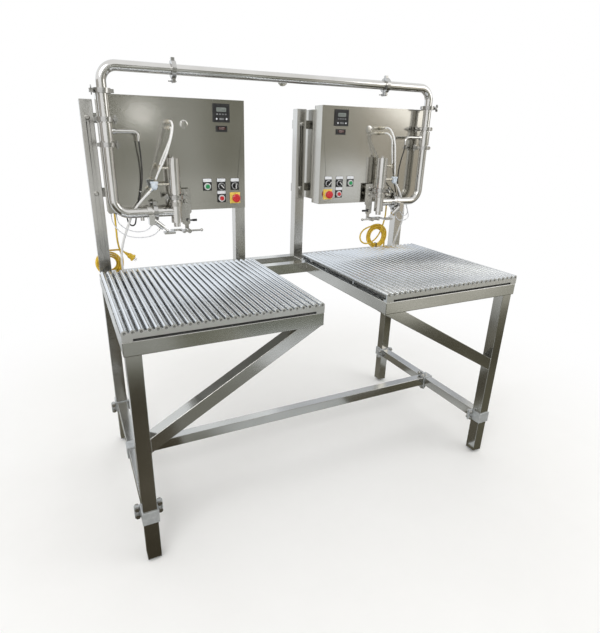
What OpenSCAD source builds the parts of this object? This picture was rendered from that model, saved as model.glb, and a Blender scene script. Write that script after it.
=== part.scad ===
// Twin bag-in-box filler: two mirrored filling stations on one tube frame.
// X runs left to right, Y front to back, Z up. The origin is on the floor under the middle.

/* [Tables] */
// Width of each table
table_w = 705; // [660:5:850]
// Depth of each table
table_d = 712; // [640:4:800]
// Clear gap between the two tables
table_gap = 276; // [200:4:400]
// Height of the grate's top above the floor
work_h = 940; // [850:5:1000]

/* [Frame] */
// Square tube of the legs, posts and table beams
tube = 50; // [44:1:60]
// Wall of the frame tubes
tube_wall = 2; // [1.5:0.5:4]
// Square tube of the lower rails
rail_tube = 45; // [30:1:50]
// Height of the lower rails' centre line
rail_z = 205; // [150:5:300]
// How far the outer legs and posts stand in from the table's edge
leg_inset = 6; // [5:1:20]
// Gap from the table's back edge to the posts
post_set = 110; // [90:2:160]
// How far the back beam reaches in under the table's back edge
back_beam_in = 40; // [30:1:50]
// Drop of the brace from the beam down to the leg
brace_drop = 374; // [250:2:450]
// Plate of the tube clamps
strap_t = 5; // [3:0.5:5]
// Height of a tube clamp
strap_h = 52; // [40:1:70]
// Reach of a clamp's flanges beyond the tube
flange_w = 26; // [24:1:34]
// Shank of the clamp bolts
bolt_d = 10; // [6:1:10]
// Height of the floor glides
foot_h = 12; // [8:1:20]

/* [Grates] */
// Outside diameter of a grate tube
rod_d = 19; // [16:0.5:22]
// Bore of a grate tube
rod_bore = 16; // [10:0.5:17]
// Hole in the plug at each end of a grate tube
rod_hole = 9; // [5:0.5:9.5]
// Spacing of the grate tubes
rod_pitch = 25.4; // [23:0.1:32]
// Height of a grate from its comb bars' underside to its top
grate_h = 30; // [26:1:40]
// Height of the pads at the grate's corners
pad_h = 9; // [6:1:14]
// Thickness of the comb bars
comb_t = 6; // [4:0.5:10]
// Depth of the drip trays
tray_depth = 32; // [20:1:45]
// Sheet of the drip trays
tray_wall = 1.5; // [1:0.5:3]
// Width of a drip tray's rim on the beams
tray_lip = 10; // [6:1:14]

/* [Enclosures] */
// Height of the enclosures' underside above the grate
enc_clear = 250; // [240:2:300]
// Height of an enclosure
enc_h = 447; // [420:1:500]
// Gap between an enclosure and the posts at its sides
enc_gap = 4; // [2:1:8]
// How far the panel stands ahead of the posts
panel_set = 150; // [120:2:170]
// Depth of the front cover
cover_d = 70; // [60:1:90]
// Sheet of the enclosures
sheet = 2; // [1.5:0.5:3]
// How far the back box stands in from the cover's outline
back_inset = 14; // [12:1:20]
// Drop from the enclosure's top to the posts' top
post_drop = 12; // [4:1:30]
// Thickness of the mounting straps behind the posts
plate_t = 6; // [4:1:10]
// Width of the mounting straps
plate_w = 40; // [30:1:60]
// Shank of the post bolts
post_bolt_d = 10; // [8:1:12]

/* [Controls] */
// Distance from the cover's inner edge to the first column of controls
ctl_edge = 48; // [40:1:60]
// Spacing of the columns of controls
ctl_pitch = 63; // [56:1:70]
// Height of the lower row of controls above the cover's underside
ctl_rise = 46; // [40:1:60]
// Spacing of the rows of controls
ctl_row = 52; // [50:1:70]
// Diameter of the chrome control bezels
bezel_d = 29; // [27:0.5:32]
// Barrel that passes through the panel
barrel_d = 22; // [20:0.5:24]
// Diameter of the push buttons
button_d = 18; // [14:0.5:19]
// Travel of the push buttons
button_travel = 4; // [2:0.5:5]
// Diameter of the emergency stop's head
mushroom_d = 36; // [30:1:40]
// Side of the batch controller's bezel
controller_w = 72; // [60:1:80]
// Width of the counter's bezel
counter_w = 48; // [40:1:60]

/* [Product pipes] */
// Outside diameter of the product pipes
pipe_d = 38.1; // [34:0.1:42]
// Wall of the product pipes
pipe_wall = 1.65; // [1:0.05:2.5]
// Outer diameter of the supply branch behind the manifold
inlet_d = 31.8; // [25:0.1:36]
// Bend radius of the pipe's centre line
bend_r = 57; // [50:1:66]
// How far the pipes run ahead of the panel
pipe_set = 47; // [44:1:60]
// Distance of the riser from the table's outer edge
riser_u = 80; // [60:1:100]
// Height of the lower run above the cover's underside
run_rise = 4; // [0:1:10]
// Height of the manifold above the lower run
manifold_rise = 536; // [520:1:600]
// Distance of the manifold's unions from the table's outer edge
top_union_u = 346; // [300:2:400]
// Drop from the manifold to the collar union
collar_drop = 87; // [82:1:95]
// Height of the meter's lower union above the lower run
meter_rise = 262; // [220:1:290]
// Length of the flow meter
meter_len = 90; // [80:1:110]
// Diameter of the flow meter's body
meter_d = 49; // [46:1:52]
// Distance of the lower run's union from the table's outer edge
run_union_u = 238; // [230:1:244]
// Diameter of the union ferrules
ferrule_d = 50.5; // [48:0.5:54]
// Thickness of the union seals
seal_t = 2; // [1:0.5:3]
// Outside diameter of the union clamps
clamp_d = 64; // [60:1:68]

/* [Filling heads] */
// Distance of the filling head's axis from the table's outer edge
head_u = 325; // [320:1:340]
// Diameter of the valve body
body_d = 46; // [42:0.5:50]
// Drop from the lower run to the valve body's foot
body_drop = 45; // [40:1:50]
// Height of the head's union above the lower run
joint_rise = 59; // [56:1:66]
// Diameter of the air actuator
actuator_d = 51; // [46:1:56]
// Height of the actuator above the head's union
actuator_h = 148; // [140:1:170]
// Diameter of the valve stem
stem_d = 12; // [8:0.5:16]
// Diameter of the filling nozzle
nozzle_d = 28; // [20:0.5:30]
// Stroke of the valve stem
stem_stroke = 9; // [6:1:14]
// Width of the fork's spout slot
slot_w = 32; // [31:0.5:34]
// Thickness of the spout fork
fork_t = 8; // [6:0.5:9]
// Drop from the valve body's foot to the fork's middle
fork_drop = 37; // [34:1:40]
// Diameter of the fork's pivot pin
pivot_d = 8; // [6:0.5:10]
// Outside diameter of the clamp cylinder
cyl_d = 22; // [18:0.5:24]
// Tilt of the clamp cylinder below level
cyl_tilt = 40; // [36:1:44]

/* [Hidden] */
$fn = 48;

steel = [0.66, 0.65, 0.61];
bright = [0.80, 0.80, 0.78];
satin = [0.60, 0.59, 0.54];
black = [0.06, 0.06, 0.07];
white = [0.90, 0.91, 0.92];
yellow = [0.85, 0.66, 0.08];
red = [0.72, 0.07, 0.08];
green = [0.05, 0.50, 0.22];
brass = [0.78, 0.70, 0.48];
rubber = [0.14, 0.14, 0.15];

// Clearances: a bolt's hole, a press or slip seat, a running fit, and a face that turns past another
hole_gap = 0.5;
seat_gap = 0.1;
run_gap = 0.05;
face_gap = 0.4;
nut_h = 8;
head_h = 8;
hex = 2 / sqrt(3);

overall_w = 2 * table_w + table_gap;
total_d = table_d + post_set + tube + plate_t + nut_h;
function sx(u) = u - overall_w / 2;
function sy(v) = v - total_d / 2;

beam_z1 = work_h - grate_h - pad_h;
beam_z0 = beam_z1 - tube;
rod_z = work_h - rod_d / 2;
rod_n = floor((table_w - rod_d) / rod_pitch) + 1;
rod_edge = (table_w - (rod_n - 1) * rod_pitch) / 2;
back_beam_y = sy(table_d - back_beam_in);
post_y = sy(table_d + post_set);
leg_mid = sx(leg_inset + tube / 2);
leg_back = sy(leg_inset) + tube;
rail_mid = (leg_back + post_y) / 2;
rod_plug = 14;
clamp_gap = 1;

enc_z0 = work_h + enc_clear;
enc_z1 = enc_z0 + enc_h;
enc_u0 = leg_inset + tube + enc_gap;
enc_u1 = table_w - tube - enc_gap;
enc_w = enc_u1 - enc_u0;
panel_y = post_y - panel_set;
rim_y = panel_y + cover_d + seal_t;
box_y = post_y + tube;
box_z0 = enc_z0 + back_inset;
post_top = enc_z1 - post_drop;
mount_zs = [enc_z0 + 64, enc_z1 - 81];

ctl_x = [for (i = [0:2]) sx(enc_u1 - ctl_edge - i * ctl_pitch)];
ctl_z = [enc_z0 + ctl_rise, enc_z0 + ctl_rise + ctl_row];
legend_t = 1.2;
legend_w = 40;
legend_low = 18;
legend_h = ctl_row - 1;
bezel_h = 5;
barrel_l = 30;
estop_side = 48;
face_y = panel_y - legend_t - bezel_h;
instrument_x = sx(enc_u1 - 103);
controller_z = enc_z1 - 52;
counter_z = enc_z1 - 114;
counter_h = counter_w / 2;
plug_x = sx(head_u + 63);
plug_z = enc_z1 - 100;
plug_d = 37;
port_x = sx(head_u - 3);
port_zs = [enc_z1 - 115, enc_z1 - 91];
port_l = 46;
port_d = 12;
tube_d = 8;

pipe_y = panel_y - pipe_set;
run_z = enc_z0 + run_rise;
manifold_z = run_z + manifold_rise;
collar_z = manifold_z - collar_drop;
meter_z0 = run_z + meter_rise;
meter_z1 = meter_z0 + meter_len;
riser_x = sx(riser_u);
bore_d = pipe_d - 2 * pipe_wall;
ferrule_t = 3;
lip_w = 2;
clamp_w = 17;
inlet_l = 76;
hx = sx(head_u);
body_z0 = run_z - body_drop;
joint_z = run_z + joint_rise;
neck_h = 14;
act_z0 = joint_z + neck_h;
act_z1 = joint_z + actuator_h;
act_bore = actuator_d - 6;
act_floor = 8;
port_in = 3;
nipple_d = 10;
upper_z = act_z1 - 32;
lower_z = act_z0 + 38;

bracket_u = head_u + body_d / 2 + 5;
bracket_w = 42;
bracket_step = 8;
bracket_t = 6;
bracket_y = panel_y - 27;
fork_z = body_z0 - fork_drop;
fork_top = fork_z + fork_t / 2;
pivot_x = sx(bracket_u + 19);
fork_half = slot_w / 2 + 9;
rod_x = sx(head_u - 48);
rod_y = pipe_y - 35;
rod_ball = 10;
rod_tip_z = fork_top + rod_ball / 2 + face_gap;
clamp_rod_d = 8;
cyl_nose = 22;
cyl_l = 52;
cyl_bore = cyl_d - 5;
cap_x = sx(bracket_u + 25);
cap_z = body_z0 + 3;
cap_pin_d = 6;
cap_boss_l = 12;
fork_boss_y = pipe_y - 26;

lead_d = 8;
hose_d = 10;
cable_d = 6;
line_d = 4;
coil_step = 9.5;
coil_climb = 10;

// Cord routes at the left station: distance from the outer edge, behind the panel, and height
route_upper_air = [
  [322, -46, 1522], [322, -56, 1522], [320.5, -73, 1517.5], [317, -85.5, 1506],
  [311.5, -90, 1489.5], [308, -88, 1478], [297, -78, 1450], [285, -67, 1422], [274, -57, 1395],
  [270.2, -52.2, 1383]
];
route_lower_air = [
  [322, -46, 1546], [322, -59, 1546], [322, -76, 1542], [321, -92, 1531], [317, -103, 1514],
  [311, -108, 1492], [302, -106, 1463], [291, -98, 1429], [278, -86, 1396], [264, -72, 1366],
  [253, -60, 1339], [249.2, -55.2, 1327]
];
route_exhaust = [
  [224.6, -43.3, 1279.2], [218, -41.9, 1272.5], [204, -37, 1258], [184, -27, 1235], [166, -21, 1212],
  [150, -18, 1190], [138, -12, 1160], [122, 3, 1116], [109, 24, 1074], [100, 52, 1024],
  [97, 76, 972], [99, 92, 922], [102, 100, 872]
];
route_meter = [
  [196, -47, 1470], [196, -47, 1460], [198, -42, 1434], [201, -32, 1394], [201, -22, 1340],
  [194, -15, 1288], [184, -11, 1246], [174, -9, 1212], [167, -8, 1184], [163, -6, 1161],
  [158.5, 0.5, 1142], [148, 16, 1133.5], [137.5, 32, 1142], [134, 39, 1161], [134, 39, 1174]
];
route_line_rear = [
  [212, -82, 1146.5], [206, -82, 1139.5], [196, -78, 1130], [180, -70, 1123], [160, -59, 1120],
  [138, -43, 1122], [116, -23, 1130], [101, -1, 1141], [93, 17, 1154], [91, 28, 1172],
  [91, 28, 1182]
];
route_line_nose = [
  [238, -82, 1124.5], [232, -82, 1117.5], [221, -78, 1108], [203, -72, 1101], [180, -65, 1097],
  [154, -55, 1096], [126, -39, 1100], [102, -17, 1110], [85, 10, 1126], [75, 34, 1146],
  [72, 47, 1164], [72, 50, 1174], [72, 50, 1182]
];
route_left_lead = [
  [92, 118, 1178], [92, 118, 1164], [92, 119, 1140], [92, 124, 1112], [93, 134, 1085],
  [94, 149, 1060], [97, 167, 1036], [101, 185, 1013], [106, 201, 991], [111, 212, 970],
  [115, 218, 949], [115, 218, 936]
];
route_left_tail = [
  [63, 228, 988], [78, 228, 988], [96, 228, 988], [110, 228, 985.5], [122, 228, 978.7],
  [130, 228, 972]
];
// The first turn of the right lead hangs loose in front of its coil
route_right_lead = [
  [152, 118, 1178], [152, 118, 1160], [153, 116, 1138], [156, 112, 1116], [161, 107, 1094],
  [167, 104, 1072], [174, 102, 1050], [181, 102, 1028], [189, 102, 1008], [200, 102, 989],
  [214, 102, 972], [231, 102, 959], [251, 102, 950], [272, 102, 946], [293, 102, 949],
  [311, 103, 960], [320, 104, 978], [319, 105, 998], [308, 106, 1015], [291, 107, 1027],
  [270, 109, 1034], [248, 112, 1039], [224, 116, 1045], [200, 118, 1046], [175, 118, 1041],
  [153, 118, 1026], [141, 118, 1010], [136, 118, 994], [136, 118, 986]
];
route_right_tail = [
  [136, 128, 970], [136, 128, 952], [136, 128, 932], [136, 128, 910], [137, 128, 886],
  [138, 128, 862], [139, 128, 840], [139, 128, 820]
];

// One tube with its centre line through the points, its rings square to it
function unit(v) = v / norm(v);
function side_of(t) = unit(cross(t, abs(t[2]) < 0.9 ? [0, 0, 1] : [1, 0, 0]));
function ahead(p, i) = p[min(i + 1, len(p) - 1)];
function behind(p, i) = p[max(i - 1, 0)];
function tangents(p) = [for (i = [0:len(p) - 1]) unit(ahead(p, i) - behind(p, i))];
function carried(n, t) = unit(n - (n * t) * t);
function normals(t) = [
  for (i = 0, n = side_of(t[0]); i < len(t); i = i + 1, n = carried(n, t[min(i, len(t) - 1)])) n
];
function placed(route) = [for (p = route) [sx(p[0]), panel_y + p[1], p[2]]];

module sweep(p, d, sides = 8) {
  t = tangents(p);
  n = normals(t);
  last = len(p) - 1;
  ring = [for (i = [0:last]) for (k = [0:sides - 1])
    let (a = 360 * k / sides) p[i] + d / 2 * (cos(a) * n[i] + sin(a) * cross(t[i], n[i]))];
  wall = [for (i = [0:last - 1]) for (k = [0:sides - 1])
    let (a = i * sides + k, b = i * sides + (k + 1) % sides)
      each [[a, a + sides, b], [b, a + sides, b + sides]]];
  start = [for (k = [1:sides - 2]) [0, k, k + 1]];
  tip = last * sides;
  end = [for (k = [1:sides - 2]) [tip, tip + k + 1, tip + k]];
  polyhedron(ring, concat(wall, start, end), convexity = 6);
}

// A tied coil: it spirals in on one layer, climbs in half a turn, and spirals out on the next
function coil_r(a, in_a, out_a, r) =
  a < in_a ? r - coil_step * a / 360
  : a < in_a + 180 ? r - coil_step * in_a / 360
  : r - coil_step * (out_a - a) / 360;
function coil_layer(a, in_a) = coil_climb * min(1, max(0, (a - in_a) / 180));
function coil_at(centre, a, in_a, out_a, r) =
  let (q = coil_r(a, in_a, out_a, r))
  [centre[0] + q * cos(a), centre[1] + coil_layer(a, in_a), centre[2] - q * sin(a)];
function coil_way(a) = lead_d * [-sin(a), 0, -cos(a)];
function coil_points(centre, r, turns_in, turns_out) =
  let (in_a = 360 * turns_in, out_a = in_a + 180 + 360 * turns_out, n = ceil(out_a / 15))
  concat(
    [coil_at(centre, 0, in_a, out_a, r) - coil_way(0)],
    [for (i = [0:n]) coil_at(centre, out_a * i / n, in_a, out_a, r)],
    [coil_at(centre, out_a, in_a, out_a, r) + coil_way(out_a)]);
function self_gap(p, d) = min([
  for (i = [0:len(p) - 1]) for (k = [i + 8:1:len(p) - 1]) norm(p[i] - p[k])]) - d;

left_coil = coil_points([sx(55), panel_y + 218, 928], 60, 2.75, 2.5);
right_coil = coil_points([-sx(200), panel_y + 118, 978], 64, 2.25, 2.25);
echo(left_coil_self_gap = self_gap(left_coil, lead_d));
echo(right_coil_self_gap = self_gap(right_coil, lead_d));

// Placing helpers
module pair() {
  children();
  mirror([1, 0, 0]) children();
}
module right_side() mirror([1, 0, 0]) children();
module along_x(p) translate(p) rotate([0, 90, 0]) children();
module along_y(p) translate(p) rotate([-90, 0, 0]) children();
module xz(y0, t) translate([0, y0 + t, 0]) rotate([90, 0, 0]) linear_extrude(t) children();
module on_rod() translate([rod_x, rod_y, rod_tip_z]) rotate([0, 90 + cyl_tilt, 0]) children();

// Square tube along one axis; cap closes its far end
module sq_tube(axis, l, s, cap = false) {
  outer = [for (i = [0:2]) i == axis ? l : s];
  low = [for (i = [0:2]) i == axis ? -1 : tube_wall];
  short = [for (i = [0:2]) i == axis && cap ? tube_wall + 1 : 0];
  difference() {
    cube(outer);
    translate(low) cube(outer - 2 * low - short);
  }
}

// Frame
module front_legs() color(steel) pair()
  translate([sx(leg_inset), sy(leg_inset), foot_h]) sq_tube(2, beam_z0 - foot_h, tube);

module post(u, z0) difference() {
  translate([sx(u), post_y, z0]) sq_tube(2, post_top - z0, tube, true);
  for (z = mount_zs)
    along_y([sx(u + tube / 2), post_y - 1, z]) cylinder(d = post_bolt_d + hole_gap, h = tube + 2);
}

module rear_posts() color(steel) pair() {
  post(leg_inset, foot_h);
  post(table_w - tube, beam_z0);
}

module rear_rails() color(steel) {
  pair() translate([sx(leg_inset + tube), post_y, beam_z0])
    sq_tube(0, table_w - 2 * tube - leg_inset, tube);
  for (y = [post_y, back_beam_y])
    translate([-table_gap / 2, y, beam_z0]) sq_tube(0, table_gap, tube);
}

module front_beam() translate([sx(0), sy(0), beam_z0]) difference() {
  linear_extrude(tube) polygon([[0, 0], [table_w, 0], [table_w - tube, tube], [tube, tube]]);
  translate([0, tube_wall, tube_wall])
    cube([table_w, tube - 2 * tube_wall, tube - 2 * tube_wall]);
}

module side_beam() {
  l = table_d + post_set;
  difference() {
    linear_extrude(tube) polygon([[0, 0], [tube, tube], [tube, l], [0, l]]);
    translate([tube_wall, 0, tube_wall])
      cube([tube - 2 * tube_wall, l - tube_wall, tube - 2 * tube_wall]);
  }
}

module table_frames() color(steel) pair() {
  front_beam();
  translate([sx(0), sy(0), beam_z0]) side_beam();
  translate([sx(table_w), sy(0), beam_z0]) mirror([1, 0, 0]) side_beam();
  translate([sx(tube), back_beam_y, beam_z0]) sq_tube(0, table_w - 2 * tube, tube);
}

// Point on a brace, a distance d square above its lower edge
brace_x0 = sx(leg_inset + tube);
brace_x1 = sx(table_w);
brace_slope = brace_drop / (brace_x1 - brace_x0);
brace_rise = sqrt(1 + brace_slope * brace_slope);
function on_brace(x, d) =
  [x, beam_z0 - brace_drop + brace_slope * (x - brace_x0) + d * brace_rise];

module braces() color(steel) pair() difference() {
  xz(sy(leg_inset), tube) polygon([
    on_brace(brace_x0, 0), on_brace(brace_x1, 0),
    [brace_x1 - tube * brace_rise / brace_slope, beam_z0], on_brace(brace_x0, tube)]);
  xz(sy(leg_inset) + tube_wall, tube - 2 * tube_wall) polygon([
    on_brace(brace_x0 - tube, tube_wall), on_brace(brace_x1 + tube, tube_wall),
    on_brace(brace_x1 + tube, tube - tube_wall), on_brace(brace_x0 - tube, tube - tube_wall)]);
}

module lower_side_rails() color(steel) pair()
  translate([leg_mid - rail_tube / 2, leg_back + strap_t, rail_z - rail_tube / 2])
    sq_tube(1, post_y - leg_back - 2 * strap_t, rail_tube);

tee_x = leg_mid + rail_tube / 2;
module lower_stretcher() color(steel)
  translate([tee_x + strap_t, rail_mid - rail_tube / 2, rail_z - rail_tube / 2])
    sq_tube(0, -2 * (tee_x + strap_t), rail_tube);

// Four bolt places of a clamp round a tube of size t, in the plane of its flanges
module at_bolts(t) for (x = [-1, 1], z = [-1, 1])
  translate([x * (t + strap_t + flange_w) / 2, t, z * (strap_h / 2 - bolt_d)]) rotate([-90, 0, 0])
    children();

// Bent strap round a tube, and the end plate of the rail that butts against that tube behind
module clamp(t) difference() {
  a = t / 2;
  b = a + strap_t;
  f = a + flange_w;
  y = t - clamp_gap;
  linear_extrude(strap_h, center = true) {
    polygon([
      [-b, -strap_t], [b, -strap_t], [b, y - strap_t], [f, y - strap_t], [f, y], [a, y],
      [a, 0], [-a, 0], [-a, y], [-f, y], [-f, y - strap_t], [-b, y - strap_t]]);
    translate([-f, t]) square([2 * f, strap_t]);
  }
  at_bolts(t) cylinder(d = bolt_d + hole_gap, h = 4 * strap_t, center = true);
}

module clamp_bolts(t) at_bolts(t) translate([0, 0, -clamp_gap - strap_t])
  hex_bolt(clamp_gap + 2 * strap_t);

// Puts the first child at the legs and posts, and the second at the ends of the stretcher
module at_clamps() pair() {
  translate([leg_mid, sy(leg_inset), rail_z]) children(0);
  translate([leg_mid, post_y + tube, rail_z]) mirror([0, 1, 0]) children(0);
  translate([tee_x - rail_tube, rail_mid, rail_z]) rotate([0, 90, -90]) children(1);
}

module tube_clamps() color(steel) at_clamps() {
  clamp(tube);
  clamp(rail_tube);
}

// Hex bolt along +Z with its head under the origin and its nut past the grip
module hex_bolt(grip) {
  translate([0, 0, -head_h]) cylinder(d = 1.6 * bolt_d * hex, h = head_h, $fn = 6);
  cylinder(d = bolt_d, h = grip + nut_h + 2);
  translate([0, 0, grip]) difference() {
    cylinder(d = 1.6 * bolt_d * hex, h = nut_h, $fn = 6);
    translate([0, 0, -1]) cylinder(d = bolt_d + seat_gap, h = nut_h + 2);
  }
}

// Dome-head bolt along +Z through a post and its strap
module post_bolt(grip) {
  intersection() {
    translate([0, 0, -2]) sphere(r = post_bolt_d);
    translate([0, 0, -post_bolt_d]) cylinder(r = post_bolt_d, h = post_bolt_d);
  }
  cylinder(d = post_bolt_d, h = grip + nut_h);
  translate([0, 0, grip]) difference() {
    cylinder(d = 1.6 * post_bolt_d * hex, h = nut_h, $fn = 6);
    translate([0, 0, -1]) cylinder(d = post_bolt_d + seat_gap, h = nut_h + 2);
  }
}

module frame_bolts() color(bright) {
  at_clamps() {
    clamp_bolts(tube);
    clamp_bolts(rail_tube);
  }
  pair() for (u = [leg_inset, table_w - tube], z = mount_zs)
    along_y([sx(u + tube / 2), post_y, z]) post_bolt(tube + plate_t);
}

// Plug in a leg's end, with a round glide under its rim
module foot(x, y) translate([x + tube / 2, y + tube / 2, 0]) {
  rim = 3;
  plug = tube - 2 * tube_wall - 2 * hole_gap;
  cylinder(d1 = 0.6 * tube, d2 = 0.84 * tube, h = foot_h - rim);
  translate([0, 0, foot_h - rim / 2]) cube([tube, tube, rim], center = true);
  translate([0, 0, 2 * foot_h]) cube([plug, plug, 2 * foot_h], center = true);
}

module leg_feet() color(black) pair() {
  foot(sx(leg_inset), sy(leg_inset));
  foot(sx(leg_inset), post_y);
}

module mount_straps() color(steel) pair() for (z = mount_zs) difference() {
  translate([sx(leg_inset), box_y, z - plate_w / 2])
    cube([table_w - leg_inset, plate_t, plate_w]);
  for (u = [leg_inset, table_w - tube])
    along_y([sx(u + tube / 2), box_y - 1, z]) cylinder(d = post_bolt_d + hole_gap, h = plate_t + 2);
}

// Tables
// Floor sheet with four seam-welded angle edges, whose rims lie on the beams
module drip_trays() color(satin) pair() {
  w = table_w - 2 * tube;
  d = table_d - back_beam_in - tube;
  gap = 1;
  inside = gap + tray_wall;
  seam = inside + seat_gap / 2;
  translate([sx(tube), sy(tube), beam_z1]) {
    for (m = [0, 1])
      translate([0, m * d, 0]) mirror([0, m, 0]) {
        translate([-tray_lip, -tray_lip, 0]) cube([w + 2 * tray_lip, tray_lip + inside, tray_wall]);
        translate([gap, gap, -tray_depth]) cube([w - 2 * gap, tray_wall, tray_depth + tray_wall]);
      }
    for (m = [0, 1])
      translate([m * w, seam, 0]) mirror([m, 0, 0]) {
        translate([-tray_lip, 0, 0]) cube([tray_lip + inside, d - 2 * seam, tray_wall]);
        translate([gap, 0, -tray_depth]) cube([tray_wall, d - 2 * seam, tray_depth + tray_wall]);
      }
    translate([seam, seam, -tray_depth]) cube([w - 2 * seam, d - 2 * seam, tray_wall]);
  }
}

module grate() color(bright) {
  rod_x0 = sx(rod_edge);
  bar_z = beam_z1 + pad_h;
  pad = [33, 20, pad_h];
  difference() {
    union() {
      for (y = [sy(0), sy(table_d) - comb_t])
        translate([sx(0), y, bar_z]) cube([table_w, comb_t, rod_z - bar_z]);
      for (y = [sy(table_d / 3), sy(table_d * 2 / 3)])
        translate([sx(0), y, bar_z]) cube([table_w, comb_t, rod_z - rod_d / 2 + 1.5 - bar_z]);
      for (x = [sx(0), sx(table_w) - pad[0]], y = [sy(0), sy(table_d) - pad[1]])
        translate([x, y, beam_z1]) cube(pad);
      for (i = [0:rod_n - 1])
        along_y([rod_x0 + i * rod_pitch, sy(0), rod_z]) cylinder(d = rod_d, h = table_d);
    }
    for (i = [0:rod_n - 1])
      along_y([rod_x0 + i * rod_pitch, sy(0), rod_z]) {
        translate([0, 0, -1]) cylinder(d = rod_hole, h = table_d + 2);
        translate([0, 0, rod_plug]) cylinder(d = rod_bore, h = table_d - 2 * rod_plug);
      }
  }
}
module left_grate() grate();
module right_grate() right_side() grate();

// Enclosures
module hole_through(x, z, d) along_y([x, panel_y - 1, z]) cylinder(d = d, h = sheet + 2);

module enclosure_covers() color(satin) pair() difference() {
  translate([sx(enc_u0), panel_y, enc_z0]) cube([enc_w, cover_d, enc_h]);
  translate([sx(enc_u0) + sheet, panel_y + sheet, enc_z0 + sheet])
    cube([enc_w - 2 * sheet, cover_d, enc_h - 2 * sheet]);
  for (x = ctl_x)
    hole_through(x, ctl_z[1], barrel_d + hole_gap);
  for (i = [0, 1])
    hole_through(ctl_x[i], ctl_z[0], barrel_d + hole_gap);
  hole_through(plug_x, plug_z, plug_d - 7 + hole_gap);
  for (z = port_zs)
    hole_through(port_x, z, port_d + hole_gap);
  translate([instrument_x, panel_y, controller_z])
    cube([controller_w - 4, 3 * sheet, controller_w - 4], center = true);
  translate([instrument_x, panel_y, counter_z])
    cube([counter_w - 3, 3 * sheet, counter_h - 3], center = true);
  for (p = gland_spots)
    translate([sx(p[0]), panel_y + p[1], enc_z0 - 1])
      cylinder(d = gland_d + hole_gap, h = sheet + 2);
}

// Back box with a rim; its lead's gland passes through the underside at one spot
module back_box(spot) difference() {
  w = enc_w - 2 * back_inset;
  h = enc_h - 2 * back_inset;
  union() {
    translate([sx(enc_u0), rim_y, enc_z0]) cube([enc_w, sheet, enc_h]);
    translate([sx(enc_u0) + back_inset, rim_y, box_z0]) cube([w, box_y - rim_y, h]);
  }
  translate([sx(enc_u0) + back_inset + sheet, rim_y - 1, box_z0 + sheet])
    cube([w - 2 * sheet, box_y - rim_y + 1 - sheet, h - 2 * sheet]);
  translate([sx(spot[0]), panel_y + spot[1], box_z0 - 1])
    cylinder(d = gland_d + hole_gap, h = sheet + 2);
}

module enclosure_backs() color(satin) {
  back_box(lead_spots[0]);
  right_side() back_box(lead_spots[1]);
}

module instrument(x, z, w, h, deep) {
  bezel = 7;
  translate([x - w / 2, panel_y - bezel, z - h / 2]) difference() {
    cube([w, bezel, h]);
    translate([w * 0.12, -1, h * 0.34]) cube([w * 0.76, 2.2, h * 0.52]);
  }
  translate([x - w / 2 + 3, panel_y, z - h / 2 + 3]) cube([w - 6, deep, h - 6]);
}

module panel_instruments() color(black) pair() {
  instrument(instrument_x, controller_z, controller_w, controller_w, cover_d);
  instrument(instrument_x, counter_z, counter_w, counter_h, cover_d - 20);
  key_d = 7;
  for (i = [-1.5:1:1.5])
    along_y([instrument_x + i * controller_w / 5, panel_y - 8.5, controller_z - controller_w * 0.32])
      cylinder(d = key_d, h = 1.5);
}

module legend(x, z) xz(panel_y - legend_t, legend_t) translate([x, z]) difference() {
  translate([-legend_w / 2, -legend_low]) square([legend_w, legend_h]);
  circle(d = barrel_d + hole_gap);
}

// Holders for the four small controls, each with a blank tag standing on its upper edge
module legend_plates() color(rubber) pair() {
  for (x = ctl_x)
    legend(x, ctl_z[1]);
  legend(ctl_x[1], ctl_z[0]);
}

module estop_plates() color(yellow) pair()
  xz(panel_y - legend_t, legend_t) translate([ctl_x[0], ctl_z[0]]) difference() {
    square(estop_side, center = true);
    circle(d = barrel_d + hole_gap);
  }

// Chrome bezel, barrel and locknut of one control, with a contact block behind
module control_body(x, z) {
  bore = button_d + 2 * seat_gap;
  along_y([x, face_y, z]) difference() {
    union() {
      cylinder(d = bezel_d, h = bezel_h);
      cylinder(d = barrel_d, h = barrel_l);
    }
    translate([0, 0, -1]) cylinder(d = bore, h = barrel_l + 2);
  }
  along_y([x, panel_y + sheet, z]) difference() {
    cylinder(d = bezel_d + 2, h = 5);
    translate([0, 0, -1]) cylinder(d = barrel_d + seat_gap, h = 7);
  }
  block = 27;
  translate([x - block / 2, face_y + barrel_l, z - block / 2]) cube([block, 20, block]);
}

module hole_plug() along_y([plug_x, panel_y, plug_z]) {
  shank = plug_d - 7;
  translate([0, 0, -2]) cylinder(d = plug_d, h = 2);
  translate([0, 0, -4]) cylinder(d1 = shank - 6, d2 = plug_d - 5, h = 2);
  cylinder(d = shank, h = sheet + 4);
}

module panel_hardware() color(bright) pair() {
  for (x = ctl_x)
    control_body(x, ctl_z[1]);
  for (i = [0, 1])
    control_body(ctl_x[i], ctl_z[0]);
  hole_plug();
}

// Push button that runs in a bezel's bore
module button(x, z) along_y([x, face_y, z]) {
  translate([0, 0, -button_travel - 1]) cylinder(d = button_d, h = button_travel + 16);
}
module left_start_button() color(green) button(ctl_x[2], ctl_z[1]);
module right_start_button() color(green) right_side() button(ctl_x[2], ctl_z[1]);
module left_stop_button() color(red) button(ctl_x[1], ctl_z[0]);
module right_stop_button() color(red) right_side() button(ctl_x[1], ctl_z[0]);

module estop_head() along_y([ctl_x[0], face_y, ctl_z[0]]) {
  stand = 18;
  cap = 10;
  translate([0, 0, -stand]) cylinder(d = mushroom_d, h = cap);
  translate([0, 0, -stand - 3]) cylinder(d1 = mushroom_d - 10, d2 = mushroom_d, h = 3);
  translate([0, 0, cap - stand]) cylinder(d = button_d, h = stand + 2);
}
module left_estop_head() color(red) estop_head();
module right_estop_head() color(red) right_side() estop_head();

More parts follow.
